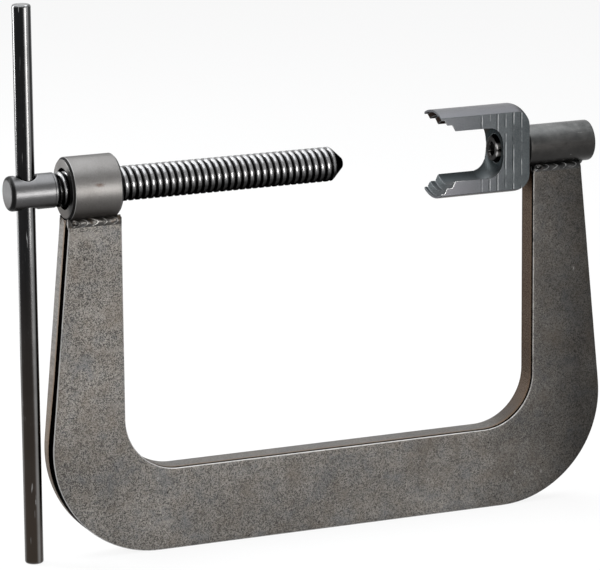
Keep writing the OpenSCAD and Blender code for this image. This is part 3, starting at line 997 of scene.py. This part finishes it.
@dataclass
class PlateFrame:
    """The C-shaped plate: a section between an inner and an outer line, carried from leg top to leg top."""

    thickness: float = 12.7
    throat_half: float = 102.5
    base_height: float = 38.1
    inner_r: float = 25.4
    outer_r: float = 50.78
    outer_centre_x: float = 86.75
    foot_x: float = 142.65
    taper: float = 0.0958
    screw_seat: WeldSeat = WeldSeat(14.2875, 23.0, (-128.0, -102.6))
    fork_seat: WeldSeat = WeldSeat(9.525, 28.0, (102.3, 127.5))
    edge_r: float = 0.6
    outer_burn: float = -1.0
    inner_burn: float = -0.3
    spans: tuple[int, int, int] = (40, 32, 48)
    face_points: int = 15
    wall_points: int = 7

    def half_lines(self, top: Array) -> tuple[Array, Array]:
        """Inner and outer edge lines of the fork half, from the middle of the base to the leg top.

        Each line is a straight, an arc of its own radius and a straight, cut into the same numbers of
        spans. The outer straight leans in by taper times the height.

        Args:
            top: height of the leg top at each place round the section.

        Returns:
            Two arrays of spans x section places x 2, with x and z.
        """
        base, bend, leg = (np.linspace(0, 1, count + 1) for count in self.spans)
        base, bend, lean = base[:-1], bend[:-1], np.arctan(self.taper)
        inner_c = np.array([self.throat_half - self.inner_r, self.base_height + self.inner_r])
        outer_c = np.array([self.outer_centre_x, self.outer_r])
        outer_end = self.outer_r * (1 + np.sin(lean))
        inner_z = inner_c[1] + leg[:, None] * (top - inner_c[1])
        outer_z = outer_end + leg[:, None] * (top - outer_end)
        inner_x, outer_x = np.full_like(inner_z, self.throat_half), self.foot_x - self.taper * outer_z
        lines = []
        for centre, radius, level, sweep, leg_x, leg_z in (
                (inner_c, self.inner_r, self.base_height, np.pi / 2, inner_x, inner_z),
                (outer_c, self.outer_r, 0.0, np.pi / 2 + lean, outer_x, outer_z)):
            turn = bend * sweep - np.pi / 2
            straight = np.stack([base * centre[0], np.full_like(base, level)], 1)
            arc = centre + radius * np.stack([np.cos(turn), np.sin(turn)], 1)
            start = np.concatenate([straight, arc])[:, None] * np.ones((1, len(top), 1))
            lines.append(np.concatenate([start, np.stack([leg_x, leg_z], -1)]))
        return lines[0], lines[1]

    def section(self) -> tuple[Array, Array, Array, Array]:
        """Goes once round the section: front, outer edge, rear, inner edge, with rounded corners.

        The rear and the inner edge are the front and the outer edge, turned half round.

        Returns:
            Share of the way from the inner to the outer line, extra distance along it, y, and wear.
        """
        half, r = self.thickness / 2, self.edge_r
        way, turn = np.linspace(0, 1, self.face_points), np.linspace(0, np.pi / 2, 6)[1:-1]
        wall = np.linspace(-1, 1, self.wall_points)
        one, level, flat = np.ones_like(turn), np.zeros_like(wall), np.zeros_like(way)
        sine, cosine, bright = r * np.sin(turn), r * np.cos(turn), np.sin(2 * turn)
        share = np.r_[way, one, level + 1, one]
        extra = np.r_[r * (1 - 2 * way), sine - r, level, cosine - r]
        y = np.r_[flat - half, r - half - cosine, wall * (half - r), half - r + sine]
        wear = [np.r_[flat, bright, level + burn, bright] for burn in (self.outer_burn, self.inner_burn)]
        return np.r_[share, 1 - share], np.r_[extra, -extra], np.r_[y, -y], np.concatenate(wear)

    def half_sheet(self, seat: WeldSeat, side: float) -> list[Sheet]:
        """One half of the plate with its coped leg top.

        A point is (1 - share) inner + share outer + extra times the unit way from inner to outer. The leg top
        follows the seat, and its cap is a roof up to the line where the boss lies on the leg.

        Args:
            seat: the corner between the leg and its boss.
            side: 1 for the fork half and -1 for the screw half.

        Returns:
            The half and the cap on its leg.
        """
        share, extra, y, wear = self.section()
        top = seat.leg_top(y)
        inner, outer = self.half_lines(top)
        way = outer - inner
        way /= np.linalg.norm(way, axis=-1, keepdims=True)
        flat = inner * (1 - share)[:, None] + outer * share[:, None] + extra[:, None] * way
        flat[-1, :, 1] = top
        grid = np.stack([side * flat[..., 0], np.broadcast_to(y, flat.shape[:2]), flat[..., 1]], -1)
        ridge = grid[-1:] * np.array([1.0, 0.0, 0.0]) + np.array([0.0, 0.0, AXIS_Z - seat.boss_r])
        return [Sheet(grid, wear, True), Sheet(np.concatenate([grid[-1:], ridge]), 0.0, True)]

    def build(self) -> None:
        """Joins both halves at the middle of the base."""
        sheets = self.half_sheet(self.fork_seat, 1.0) + self.half_sheet(self.screw_seat, -1.0)
        settle(join_sheets("c_frame_plate", sheets, 50.0), Body.FRAME, PLATE_STEEL, "frame_plate")


@dataclass
class Bosses:
    """The round bosses on the leg tops: the threaded one for the screw and the stub for the fork."""

    screw_x: Pair = (-127.9, -103.9)
    screw_r: float = 14.286
    bore_r: float = 8.0175
    bore_chamfer: float = 1.4
    fork_x: Pair = (99.5, 133.4)
    fork_r: float = 9.525
    hole_r: float = 3.969
    hole_end_x: float = 117.5
    screw_edge: float = 1.1
    edge: float = 0.7
    dark_slope_margin: float = 0.12
    face_margin: float = 0.06
    shadow_deg: float = 180.0
    shadow_wide_deg: float = 52.0

    def screw_boss(self) -> None:
        """A tube: its bore, two bore chamfers, two end faces and the outside, with eased corners.

        The corner slopes are painted dark as shade and dark reflection. On the face towards the head, a
        shadow is painted
        on its front: its wear is -exp(-(t / w)^4) at turn t from the shadow's middle, with w its width.
        """
        x0, x1, c, e = *self.screw_x, self.bore_chamfer, self.screw_edge
        middle, inner, outer = (x0 + x1) / 2, self.bore_r, self.screw_r
        corners = np.array([
            [middle, inner], [x0 + c, inner], [x0, inner + c], [x0, outer - e], [x0 + e, outer],
            [x1 - e, outer], [x1, outer - e], [x1, inner + c], [x1 - c, inner], [middle, inner]])
        radii = np.array([0, 0.2, 0.2, 0.5, 0.5, 0.5, 0.5, 0.2, 0.2, 0])
        rub = np.array([0, 0, 0.3, 0.5, 0.7, 0.5, 0.3, 0.2, 0, 0])
        profile, wear = rounded_profile(corners, radii, rub=rub)
        x, r = profile.T
        slope = np.minimum(np.abs(x - x0), np.abs(x - x1))
        # painted dark reflection on the slopes of the outer corners
        dark_slope = (r > outer - e) & (slope > self.dark_slope_margin) & (slope < e - self.dark_slope_margin)
        tube = turned(profile, np.where(dark_slope, -1.0, wear))
        # painted shadow on the front of the face towards the head
        on_face = (np.abs(x - x0) < self.face_margin) & (r > inner + 0.5 * c)
        turn = np.arange(TURNS) * 360.0 / TURNS - self.shadow_deg
        tube.wear = np.where(on_face[:, None], -np.exp(-((turn / self.shadow_wide_deg) ** 4)), tube.wear)
        piece = join_sheets("screw_boss_turned", [tube], 35.0)
        settle(piece, Body.FRAME, TURNED_STEEL, "screw_boss")
        centre = read(piece.data.polygons, "center", 3)
        away = np.hypot(centre[:, 1], centre[:, 2] - AXIS_Z_M)
        # the bore and its chamfers take the dark thread finish: oiled inner thread, and painted shade in the
        # chamfers' recess
        second_finish(piece, SCREW_STEEL, away < (inner + c + self.face_margin) * MM)

    def fork_boss(self) -> None:
        """A solid stub with a screw hole in its fork end and a rounded outer end."""
        x0, x1, e, outer = *self.fork_x, self.edge, self.fork_r
        corners = np.array([[self.hole_end_x, 0], [self.hole_end_x, self.hole_r], [x0, self.hole_r],
                            [x0, outer - e], [x0 + e, outer], [x1, outer], [x1, 0]])
        profile, wear = rounded_profile(corners, np.array([0, 0, 0, 0.3, 0.6, 1.1, 0]), rub=0.35)
        piece = join_sheets("fork_stub_turned", [turned(profile, wear)], 35.0)
        settle(piece, Body.FRAME, STUB_STEEL, "fork_boss")

    def build(self) -> None:
        """Both bosses."""
        self.screw_boss()
        self.fork_boss()


@dataclass
class WeldBead:
    """One fillet bead between a side of the plate and a boss, with crescent ripples and an end crater."""

    name: str
    node: str
    seat: WeldSeat
    side: float
    phase: float
    finish: Finish
    bulge: float = 0.9
    ripple: float = 0.45
    ripple_step: float = 4.8
    crescent: float = 0.6
    end_r: float = 1.3
    sink: float = 0.9
    rows: int = 161
    columns: int = 41
    past_toe: float = 0.1
    crater_x: float = 3.0
    crater_deep: float = 0.85
    crater_wide: float = 1.2
    crater_share: float = 0.45
    crater_rim: float = 0.4
    glint_at: float = 0.16
    glint_wide: float = 0.09
    swell: float = 0.12
    root: float = 2.0

    def stand_off(self, x: Array, share: Array) -> tuple[Array, Array]:
        """How far the bead stands off the way between its toes.

        At share s of the way from the toe on the plate to the toe under the boss, it is 4 bulge s (1 - s),
        plus ripple times a saw wave, plus a crater and a slow swell, which vanish at the toes. With
        q = 2 s - 1, the wave's phase is x / step + crescent q^2, so that each ripple is a crescent. At both
        ends of the bead the section sinks into the plate.

        Args:
            x: places along the bead, as a column.
            share: shares of the way, as a row.

        Returns:
            The distance, and the painted glint on the ripples' fronts.
        """
        (x0, x1), q, dome = self.seat.ends_x, 2 * share - 1, 4 * share * (1 - share)
        beat = (x + 0.4 * np.sin(0.9 * x)) / self.ripple_step + self.crescent * q**2 + self.phase
        fall = beat % 1.0
        wave = (1 - fall) * (1 - np.exp(-((fall / 0.15) ** 2))) + 0.08 * np.sin(12 * beat + 3 * q)
        # painted glint on each ripple's steep front, weaker towards the toes
        front = np.exp(-(((fall - self.glint_at) / self.glint_wide) ** 2)) * np.clip(1 - 0.4 * q**2, 0, 1)
        off = (x - x0 - self.crater_x) / self.crater_wide
        near = off**2 + (q / self.crater_share) ** 2
        rim = self.crater_rim * np.exp(-((np.sqrt(near) - 1.6) ** 2) / 0.2)
        crater = rim - self.crater_deep * np.exp(-near)
        swell = self.swell * np.sin(0.83 * x + 2.0 * q + 5 * self.phase)
        detail = self.ripple * (wave * (1 - np.exp(-near / 4)) - 0.4) + crater + swell
        lift = self.bulge * dome + np.sqrt(np.clip(dome, 0, 1)) * detail
        far = np.clip(np.minimum(x - x0, x1 - x) / self.end_r, 0, 1)
        body = np.sqrt(np.clip(1 - (1 - far) ** 2, 0, 1))
        return body * lift - self.sink * (1 - body), front

    def build(self) -> None:
        """Carries the section along X, with places that lie closer together at both ends."""
        (x0, x1), (plate_toe, boss_toe) = self.seat.ends_x, self.seat.toes()
        way = boss_toe - plate_toe
        out = np.array([-way[1], way[0]]) / np.hypot(*way)
        share = np.linspace(-self.past_toe, 1 + self.past_toe, self.columns)[None, :]
        pace = (1 - np.cos(np.linspace(0, np.pi, self.rows)))[:, None] / 2
        x = x0 + (x1 - x0) * pace
        lift, front = self.stand_off(x, share)
        y = self.side * (plate_toe[0] + share * way[0] + lift * out[0])
        z = AXIS_Z + plate_toe[1] + share * way[1] + lift * out[1]
        grid = np.stack([np.broadcast_to(x, y.shape), y, z], -1)
        deep = (plate_toe + boss_toe) / 2 - self.root * out
        hub = np.stack([x, np.full_like(x, self.side * deep[0]), np.full_like(x, AXIS_Z + deep[1])], -1)
        wear = np.concatenate([front, np.zeros_like(x)], axis=1)
        sheets = closed_run(np.concatenate([grid, hub], axis=1), hub, wear)
        settle(join_sheets(self.name, sheets, 70.0), Body.FRAME, self.finish, self.node)


@dataclass
class EndFillet:
    """The small fillet under the stub, on the outer edge of the fork leg, carried along Y."""

    plate: PlateFrame
    leg: float = 3.0
    half_length: float = 5.6
    end_room: float = 0.01
    overlap: float = 0.4
    inset: float = 0.2
    fill: float = 0.92
    ripple: float = 0.05
    hollow: float = 0.12
    hub_in: float = 1.0
    hub_up: float = 0.6
    rub: float = 0.25
    rows: int = 61
    columns: int = 15

    def build(self) -> None:
        """A hollow corner carried along Y.

        The corner lies on the leg's edge at the boss, at z = -sqrt(r^2 - y^2). From it the section goes one
        leg down the edge and one leg out under the boss, drawn in between, with a light ripple along Y. It
        fades out towards both ends as sqrt(1 - (y / half)^4).
        """
        y = self.half_length * np.sin(np.linspace(-np.pi / 2, np.pi / 2, self.rows))[:, None]
        full = np.sqrt(np.clip(1 - (np.abs(y) / (self.half_length + self.end_room)) ** 4, 0, 1))
        turn = np.linspace(0, np.pi / 2, self.columns)[None, :]
        boss_r, foot_x, taper = self.plate.fork_seat.boss_r, self.plate.foot_x, self.plate.taper
        corner_z = AXIS_Z - np.sqrt(boss_r**2 - y**2) + self.overlap
        way = self.fill + self.ripple * np.sin(2.7 * y) - self.hollow * np.sin(2 * turn)
        reach = self.leg * full * way
        z = corner_z - reach * np.cos(turn)
        x = foot_x - taper * z - self.inset + reach * np.sin(turn)
        grid = np.stack([x, np.broadcast_to(y, x.shape), z], -1)
        hub_x = foot_x - taper * corner_z - self.hub_in
        hub = np.stack([hub_x, y, corner_z + self.hub_up], -1)
        sheets = closed_run(np.concatenate([grid, hub], axis=1), hub, self.rub)
        piece = join_sheets("weld_end_fillet", sheets, 60.0)
        settle(piece, Body.FRAME, SCALED_WELD, "weld_fork_end")


# The forcing screw, its point and its bar


@dataclass
class ForcingScrew:
    """The screw with its trapezoidal thread, its drilled head and the point in its end.

    The thread's profile is given over one pitch: places, heights as shares of the depth, and bareness.
    """

    head_x: Pair = (-154.3, -132.1)
    radius: float = 7.9375
    head_edge: float = 2.5
    head_round: float = 2.2
    line_back: float = 1.6
    line_half: float = 0.15
    collar_edge: Pair = (0.8, 0.6)
    hole_x: float = -145.6
    hole_r: float = 4.7625
    hole_edge: float = 0.55
    side_spans: int = 32
    side_steps: int = 15
    side_crowd: float = 1.4
    rim_rub: Pair = (0.35, 0.2)
    pitch: float = 3.175
    root_r: float = 6.2875
    crest_x: float = -97.0
    thread_place: tuple[float, ...] = (0.0, 0.68, 0.80, 1.12, 1.23, 1.94, 2.05, 2.37, 2.49, 3.175)
    thread_rise: tuple[float, ...] = (1.0, 1.0, 0.94, 0.09, 0.0, 0.0, 0.09, 0.94, 1.0, 1.0)
    thread_bare: tuple[float, ...] = (1.0, 1.0, 0.95, 0.12, 0.0, 0.0, 0.12, 0.95, 1.0, 1.0)
    fade_share: float = 0.3
    shaded_crest_rub: float = 0.1
    crest_shade_line: Pair = (-0.4, 0.12)
    end_x: float = 1.6
    end_r: float = 7.5375
    spigot_r: float = 4.05
    spigot_end_x: float = -10.6
    point_base_x: float = 1.8
    point_tip_x: float = 7.3
    point_tip_r: float = 2.4
    spigot_fit_r: float = 4.0
    spigot_fit_x: float = -10.4
    point_rub: float = 0.35

    def head_side(self) -> Sheet:
        """The round side of the head with the cross hole through it.

        The side is unrolled to x and arc a. Each point of the rectangle's border is joined to the hole's rim
        in the same direction by a line that is cut in steps, and is rolled back with y = r sin(a / r) and
        z = r cos(a / r). The rim goes down a small chamfer and through to the same rim below.

        Returns:
            One sheet from the upper border through the hole to the lower border.
        """
        x0, x1, r = self.head_x[0] + self.head_edge, self.head_x[1] - self.head_edge, self.radius
        arc, rim = np.pi / 2 * r, self.hole_r + self.hole_edge
        across, along = np.linspace(-1, 1, TURNS // 2 + 1)[:-1], np.linspace(0, 1, self.side_spans + 1)[:-1]
        border_x = np.concatenate([np.full_like(across, x0), x0 + (x1 - x0) * along,
                                   np.full_like(across, x1), x1 + (x0 - x1) * along])
        border_a = np.concatenate([arc * across, np.full_like(along, arc),
                                   -arc * across, np.full_like(along, -arc)])
        turn = np.arctan2(border_a, border_x - self.hole_x)
        rim_x, rim_a = self.hole_x + rim * np.cos(turn), r * np.arcsin(rim * np.sin(turn) / r)
        step = (1 - np.linspace(1, 0, self.side_steps) ** self.side_crowd)[::-1, None]
        x, a = rim_x + (border_x - rim_x) * step, rim_a + (border_a - rim_a) * step
        side = np.stack([x, r * np.sin(a / r), r * np.cos(a / r)], -1)
        wall_z = np.sqrt(r**2 - (rim * np.sin(turn)) ** 2) - self.hole_edge
        wall = np.stack([self.hole_x + self.hole_r * np.cos(turn), self.hole_r * np.sin(turn), wall_z], -1)
        upper = np.concatenate([side, wall[None]])
        grid = np.concatenate([upper, upper[::-1] * np.array([1.0, 1.0, -1.0])])
        wear = np.r_[np.zeros(len(upper) - 2), self.rim_rub]
        return Sheet(grid + np.array([0.0, 0.0, AXIS_Z]), np.r_[wear, wear[::-1]][:, None], True)

    def thread(self) -> Sheet:
        """The thread as one helix sheet.

        Column t of the sheet holds the corners of the profile, moved along X by pitch t / 2 pi, so that the
        last column is the first one moved by one turn. The radius is the profile at the place within the
        pitch; it fades in at the head and is held under a 45 degree cone at the end. The crests are rubbed
        bright, and painted darker below as shade.

        Returns:
            The sheet; its two outer columns merge.
        """
        start_x, place = self.head_x[1], np.array(self.thread_place)
        count = int(np.ceil((self.end_x - start_x) / self.pitch)) + 4
        first = self.crest_x + self.pitch * np.floor((start_x - self.crest_x) / self.pitch - 1.5)
        rows = (first + self.pitch * np.arange(count)[:, None] + place[None, :-1]).ravel()
        angle = np.linspace(0, 2 * np.pi, TURNS + 1)
        lead = self.pitch * (angle - np.pi) / (2 * np.pi)
        x = np.clip(rows[:, None] + lead, start_x, self.end_x)
        phase = (x - self.crest_x - lead) % self.pitch
        fade = np.clip((x - start_x) / (self.fade_share * self.pitch), 0, 1)
        fade = fade * fade * (3 - 2 * fade)
        depth = (self.radius - self.root_r) * np.interp(phase, place, self.thread_rise) * fade
        radius = np.minimum(self.root_r + depth, self.end_r + self.end_x - x)
        points = np.stack([x, radius * np.cos(angle), AXIS_Z + radius * np.sin(angle)], -1)
        # painted shade: the crests' bright wear is cut down on the lower side
        crest_shade = np.interp(np.sin(angle), self.crest_shade_line, (self.shaded_crest_rub, 1.0))
        return Sheet(points, np.interp(phase, place, self.thread_bare) * fade * crest_shade)

    def screw(self) -> None:
        """Joins the head, its collar with a turned line, the thread, and the end with the point's hole."""
        x0, x1, edge, r = *self.head_x, self.head_edge, self.radius
        front = np.array([[x0, 0.0], [x0, r], [x0 + edge, r]])
        # the head's front rounding is painted dark (wear -1) as a dark reflection
        front_profile, front_wear = rounded_profile(front, np.array([0.0, self.head_round, 0.0]), 12, -1.0)
        line, half, collar_edge = x1 - self.line_back, self.line_half, self.collar_edge
        collar = np.array([
            [x1 - edge, r], [line - half, r], [line, r - half], [line + half, r], [x1 - collar_edge[0], r],
            [x1, r - collar_edge[1]], [x1, self.root_r]])
        # the turned line's groove is painted dark, wear -1
        radii, rub = np.array([0, 0.1, 0.1, 0.1, 0.25, 0.2, 0]), np.array([0, 0.2, -1, 0.2, 0.8, 0.8, 0])
        collar_profile, collar_wear = rounded_profile(collar, radii, 4, rub)
        hole = turned(np.array([[self.end_x, self.spigot_r], [self.spigot_end_x, self.spigot_r],
                                [self.spigot_end_x, 0.0]]), 0.0)
        thread = self.thread()
        end = Sheet(np.concatenate([thread.points[-1:, :TURNS], hole.points]), 0.0, True)
        sheets = [turned(front_profile, front_wear), self.head_side(), turned(collar_profile, collar_wear),
                  thread, end]
        piece = join_sheets("forcing_screw_thread", sheets, 42.0)
        settle(piece, Body.SCREW, SCREW_STEEL, "forcing_screw")
        second_finish(piece, HEAD_STEEL, read(piece.data.polygons, "center", 3)[:, 0] < x1 * MM)

    def point(self) -> None:
        """The live point: a spigot, a shoulder and a cone with a small flat."""
        corners = np.array([[self.spigot_fit_x, 0.0], [self.spigot_fit_x, self.spigot_fit_r],
                            [self.point_base_x, self.spigot_fit_r], [self.point_base_x, self.end_r],
                            [self.point_tip_x, self.point_tip_r], [self.point_tip_x, 0.0]])
        profile, wear = rounded_profile(corners, np.array([0, 0.4, 0, 0.2, 0.35, 0]), rub=self.point_rub)
        piece = join_sheets("screw_point_turned", [turned(profile, wear)], 38.0)
        settle(piece, Body.POINT, SCREW_STEEL, "screw_point")

    def build(self) -> None:
        """The screw and its point."""
        self.screw()
        self.point()


@dataclass
class TommyBar:
    """The sliding bar in the head of the screw."""

    line_x: float = -145.6
    radius: float = 4.25
    length: float = 256.0
    end_edge: float = 1.2
    edge_rub: float = 0.3
    cut_rub: float = 0.6
    foot_share: float = 0.6
    # streaks round the rod: rub marks, with the one at -75 degrees a painted highlight on the front right
    rub_highlight_deg: tuple[float, ...] = (-75.0, 25.0, 100.0, 190.0)
    rub_highlight_wide_deg: tuple[float, ...] = (12.0, 6.0, 10.0, 7.0)
    rub_highlight_share: tuple[float, ...] = (0.66, 0.35, 0.6, 0.4)

    def rubs_and_highlights(self, height: Array) -> Array:
        """Bright streaks along the rod: rub marks where it slides in its hole, and a painted highlight on its
        front right.

        Round the rod, each streak is a bell curve exp(-(turn / width)^2) about its own angle. Up the rod,
        all of them grow from a share at the lower end to 1 at the upper end.

        Args:
            height: heights along the rod.

        Returns:
            Wear for each height and each place round the rod.
        """
        turn = np.arange(TURNS)[:, None] * 360.0 / TURNS
        off = (turn - np.array(self.rub_highlight_deg) + 180.0) % 360.0 - 180.0
        bells = np.exp(-((off / np.array(self.rub_highlight_wide_deg)) ** 2)) * np.array(self.rub_highlight_share)
        grown = self.foot_share + (1 - self.foot_share) * height / self.length
        return grown[:, None] * bells.max(axis=1)

    def build(self) -> None:
        """A rod with rounded ends, turned about its own line, bare on its cut ends."""
        corners = np.array([[0.0, 0.0], [0.0, self.radius], [self.length, self.radius], [self.length, 0.0]])
        radii = np.array([0, self.end_edge, self.end_edge, 0])
        profile, wear = rounded_profile(corners, radii, 8, self.edge_rub)
        rod = turned(profile, wear, Axis.BAR_LINE, self.line_x)
        cut_end = profile[:, 1:] < self.radius - self.end_edge
        rod.wear = np.where(cut_end, self.cut_rub, np.maximum(rod.wear, self.rubs_and_highlights(profile[:, 0])))
        settle(join_sheets("tommy_bar_rod", [rod], 50.0), Body.BAR, BAR_STEEL, "tommy_bar")


# The fork


@dataclass
class CapScrew:
    """The socket head cap screw in the fork: a knurled head with a hexagon socket, and a plain shank."""

    head_x: Pair = (83.5, 91.3)
    head_r: float = 5.95
    head_edge: float = 0.65
    foot_edge: float = 0.3
    socket_flats: float = 6.35
    socket_depth: float = 3.9
    socket_mouth: float = 0.12
    mouth_deep: float = 0.4
    drill_deep: float = 0.5
    knurls: int = 54
    knurl_depth: float = 0.16
    shank_r: float = 3.969
    end_x: float = 117.5
    end_edge: float = 0.8
    glint_deg: tuple[float, ...] = (20.0, 158.0, 197.0, 320.0)
    glint_wide_deg: float = 13.0
    socket_rub: Triple = (0.4, 0.35, 0.3)
    edge_rub: Pair = (0.25, 0.3)

    def build(self) -> None:
        """Turns the profile with two radii that change round the axis.

        The socket's radius is half the flats over cos(u), where u is the angle from the middle of the
        nearest flat, and the head's side is lowered by the knurl's depth times (1 + cos(n t)) / 2. Glints
        are bell curves round the head about their own angles.
        """
        x0, x1, e, foot = *self.head_x, self.head_edge, self.foot_edge
        t = np.linspace(0, 2 * np.pi, 6 * self.knurls + 1)[:-1]
        flat = self.socket_flats / 2 / np.cos((t + np.pi / 6) % (np.pi / 3) - np.pi / 6)
        mouth = self.socket_flats / 2 / np.cos(np.pi / 6) + self.socket_mouth
        side = self.head_r - self.knurl_depth * (1 + np.cos(self.knurls * t)) / 2
        arc = np.linspace(0, np.pi / 2, 7)
        floor_x = x0 + self.socket_depth
        rows = [(floor_x + self.drill_deep, 0.0), (floor_x, flat), (x0 + self.mouth_deep, flat), (x0, mouth)]
        rows += [(x0 + e - e * np.cos(a), self.head_r - e + e * np.sin(a)) for a in arc]
        rows += [(x0 + e + foot, side), (x1 - 2 * foot, side), (x1 - foot, self.head_r),
                 (x1, self.head_r - foot), (x1, self.shank_r), (self.end_x - self.end_edge, self.shank_r),
                 (self.end_x, self.shank_r - self.end_edge), (self.end_x, 0.0)]
        x = np.array([row[0] for row in rows])[:, None] + 0 * t
        radius = np.array([row[1] + 0 * t for row in rows])
        grid = np.stack([x, radius * np.cos(t), AXIS_Z + radius * np.sin(t)], -1)
        turn = np.degrees(t) - np.array(self.glint_deg)[:, None]
        glint = np.exp(-((turn / self.glint_wide_deg) ** 2)).max(axis=0)
        wear = np.zeros(grid.shape[:2])
        wear[:3] = np.array(self.socket_rub)[:, None]
        wear[4:8] = self.edge_rub[0] * np.sin(2 * arc[:4])[:, None] + self.edge_rub[1] * glint
        wear[8:13] = glint
        piece = join_sheets("fork_cap_screw", [Sheet(grid, wear, True)], 38.0)
        settle(piece, Body.FRAME, CAP_OXIDE, "fork_screw")


@dataclass
class ForkHead:
    """The stepped fork."""

    ease: float = 0.25

    def build(self) -> None:
        """An eased copy of the solid in its finish, with its edges rubbed bright and a painted glint on the
        tips' borders.
        """
        piece = eased_copy("fork", "stepped_fork", self.ease)
        settle(piece, Body.FORK, FORK_STEEL, "fork")
        piece.data.materials.append(FORK_EDGE.material())


# Studio


@dataclass(frozen=True)
class Lamp:
    """A soft box: where it hangs, what it looks at, its width, height and brightness."""

    name: str
    place_m: Triple
    aim_m: Triple
    size_m: Pair
    glow: float
    tint: Triple = WHITE

    def build(self) -> None:
        """An area light whose power is glow times pi times its area."""
        light = bpy.data.lights.new(self.name, "AREA")
        light.shape = "RECTANGLE"
        light.size, light.size_y = self.size_m
        light.energy = self.glow * np.pi * self.size_m[0] * self.size_m[1]
        light.color = self.tint
        lamp = bpy.data.objects.new(self.name, light)
        lamp.location = self.place_m
        lamp.visible_camera = False
        lamp.rotation_euler = (Vector(self.aim_m) - Vector(self.place_m)).to_track_quat("-Z", "Y").to_euler()
        bpy.context.scene.collection.objects.link(lamp)


LAMPS = (
    Lamp("front_box", (0.08, -0.62, 0.15), (-0.05, 0.0, 0.13), (0.32, 0.26), 12.0, (1.0, 0.985, 0.965)),
    Lamp("top_box", (-0.10, 0.30, 1.0), (-0.10, 0.20, 0.0), (1.2, 1.6), 3.3, (0.96, 0.98, 1.0)),
    Lamp("left_rear_box", (-0.75, 0.55, 0.35), (-0.12, 0.0, 0.12), (0.3, 0.6), 13.0),
    Lamp("rear_panel", (-0.41, 0.65, 0.002), (-0.41, 0.6501, 1.0), (0.5, 0.5), 2.1),
)


@dataclass
class Studio:
    """Pale floor, soft boxes, ambient light and the camera."""

    floor_half_m: float = 14.0
    floor_lines: int = 9
    floor_colour: Triple = (0.86, 0.86, 0.86)
    floor_rough: float = 0.9
    floor_glow_share: float = 0.88
    ambient: float = 0.15
    eye_m: Triple = (-0.73147, -1.69356, 0.55081)
    aim_m: Triple = (-0.0136, 0.0, 0.11596)
    roll_deg: float = -0.483
    focal_px: float = 4115.2
    frame_px: tuple[int, int] = (600, 570)
    sensor_mm: float = 36.0
    reach_m: float = 100.0
    lamps: tuple[Lamp, ...] = LAMPS

    def floor(self) -> None:
        """A wide pale floor that is near white to the camera and still takes the object's shadow."""
        way = np.linspace(-self.floor_half_m, self.floor_half_m, self.floor_lines)
        x, y = np.meshgrid(way, way, indexing="ij")
        ground = join_sheets("floor", [Sheet(np.stack([x, y, np.zeros_like(x)], -1) / MM)])
        desk = Desk(bpy.data.materials.new("pale_floor"))
        desk.plug(desk.shader.inputs["Base Color"], self.floor_colour)
        desk.plug(desk.shader.inputs["Roughness"], self.floor_rough)
        glow, share = desk.node("Emission", 0, {}), desk.background() * self.floor_glow_share
        desk.split(Value(desk, desk.shader.outputs[0]), glow, share, "Material Output")
        ground.data.materials.append(desk.home)

    def world(self) -> None:
        """Dim even light from all round, white where it is the background."""
        desk = Desk(bpy.data.worlds.new("studio"))
        dim = desk.tree.nodes["Background"]
        desk.plug(dim.inputs["Color"], WHITE)
        desk.plug(dim.inputs["Strength"], self.ambient)
        white = desk.node("Background", 0, {"Color": WHITE})
        desk.split(Value(desk, dim.outputs[0]), white, desk.background(), "World Output")
        bpy.context.scene.world = desk.home

    def camera(self) -> None:
        """The camera at the photograph's viewpoint, with its focal length from pixels."""
        lens = bpy.data.cameras.new("camera")
        lens.sensor_fit = "HORIZONTAL"
        lens.sensor_width = self.sensor_mm
        lens.lens = self.focal_px * self.sensor_mm / self.frame_px[0]
        lens.clip_end = self.reach_m
        eye = Vector(self.eye_m)
        ahead = (Vector(self.aim_m) - eye).normalized()
        right = ahead.cross(Vector((0, 0, 1))).normalized()
        up, turn = right.cross(ahead), np.radians(self.roll_deg)
        across, above = right * np.cos(turn) + up * np.sin(turn), up * np.cos(turn) - right * np.sin(turn)
        camera = bpy.data.objects.new("camera", lens)
        camera.matrix_world = Matrix.Translation(eye) @ Matrix((across, above, -ahead)).transposed().to_4x4()
        bpy.context.scene.collection.objects.link(camera)
        bpy.context.scene.camera = camera

    def build(self) -> None:
        """Sets up the whole studio."""
        self.camera()
        self.floor()
        self.world()
        for lamp in self.lamps:
            lamp.build()
        bpy.context.scene.view_settings.view_transform = "Standard"
        LOG.info("studio: %d soft boxes", len(self.lamps))


def build_welds(plate: PlateFrame) -> None:
    """Builds the beads on both sides of both legs, and the fillet on the fork leg's edge.

    Args:
        plate: the frame, with the seats that the beads lie in.
    """
    for place, side, phase in (("front", 1.0, 0.0), ("rear", -1.0, 0.4)):
        WeldBead(f"weld_bead_screw_{place}", f"weld_screw_{place}", plate.screw_seat, side, phase,
                 WELD_METAL).build()
        WeldBead(f"weld_bead_fork_{place}", f"weld_fork_{place}", plate.fork_seat, side, phase + 0.2,
                 SCALED_WELD, bulge=0.5, ripple=0.22).build()
    EndFillet(plate).build()


def main() -> None:
    """Builds the tool from the frame outwards, then the studio."""
    logging.basicConfig(level=logging.INFO, format="%(name)s %(message)s")
    plate = PlateFrame()
    plate.build()
    Bosses().build()
    build_welds(plate)
    ForcingScrew().build()
    TommyBar().build()
    ForkHead().build()
    CapScrew().build()
    Studio().build()


if __name__ == "__main__":
    main()
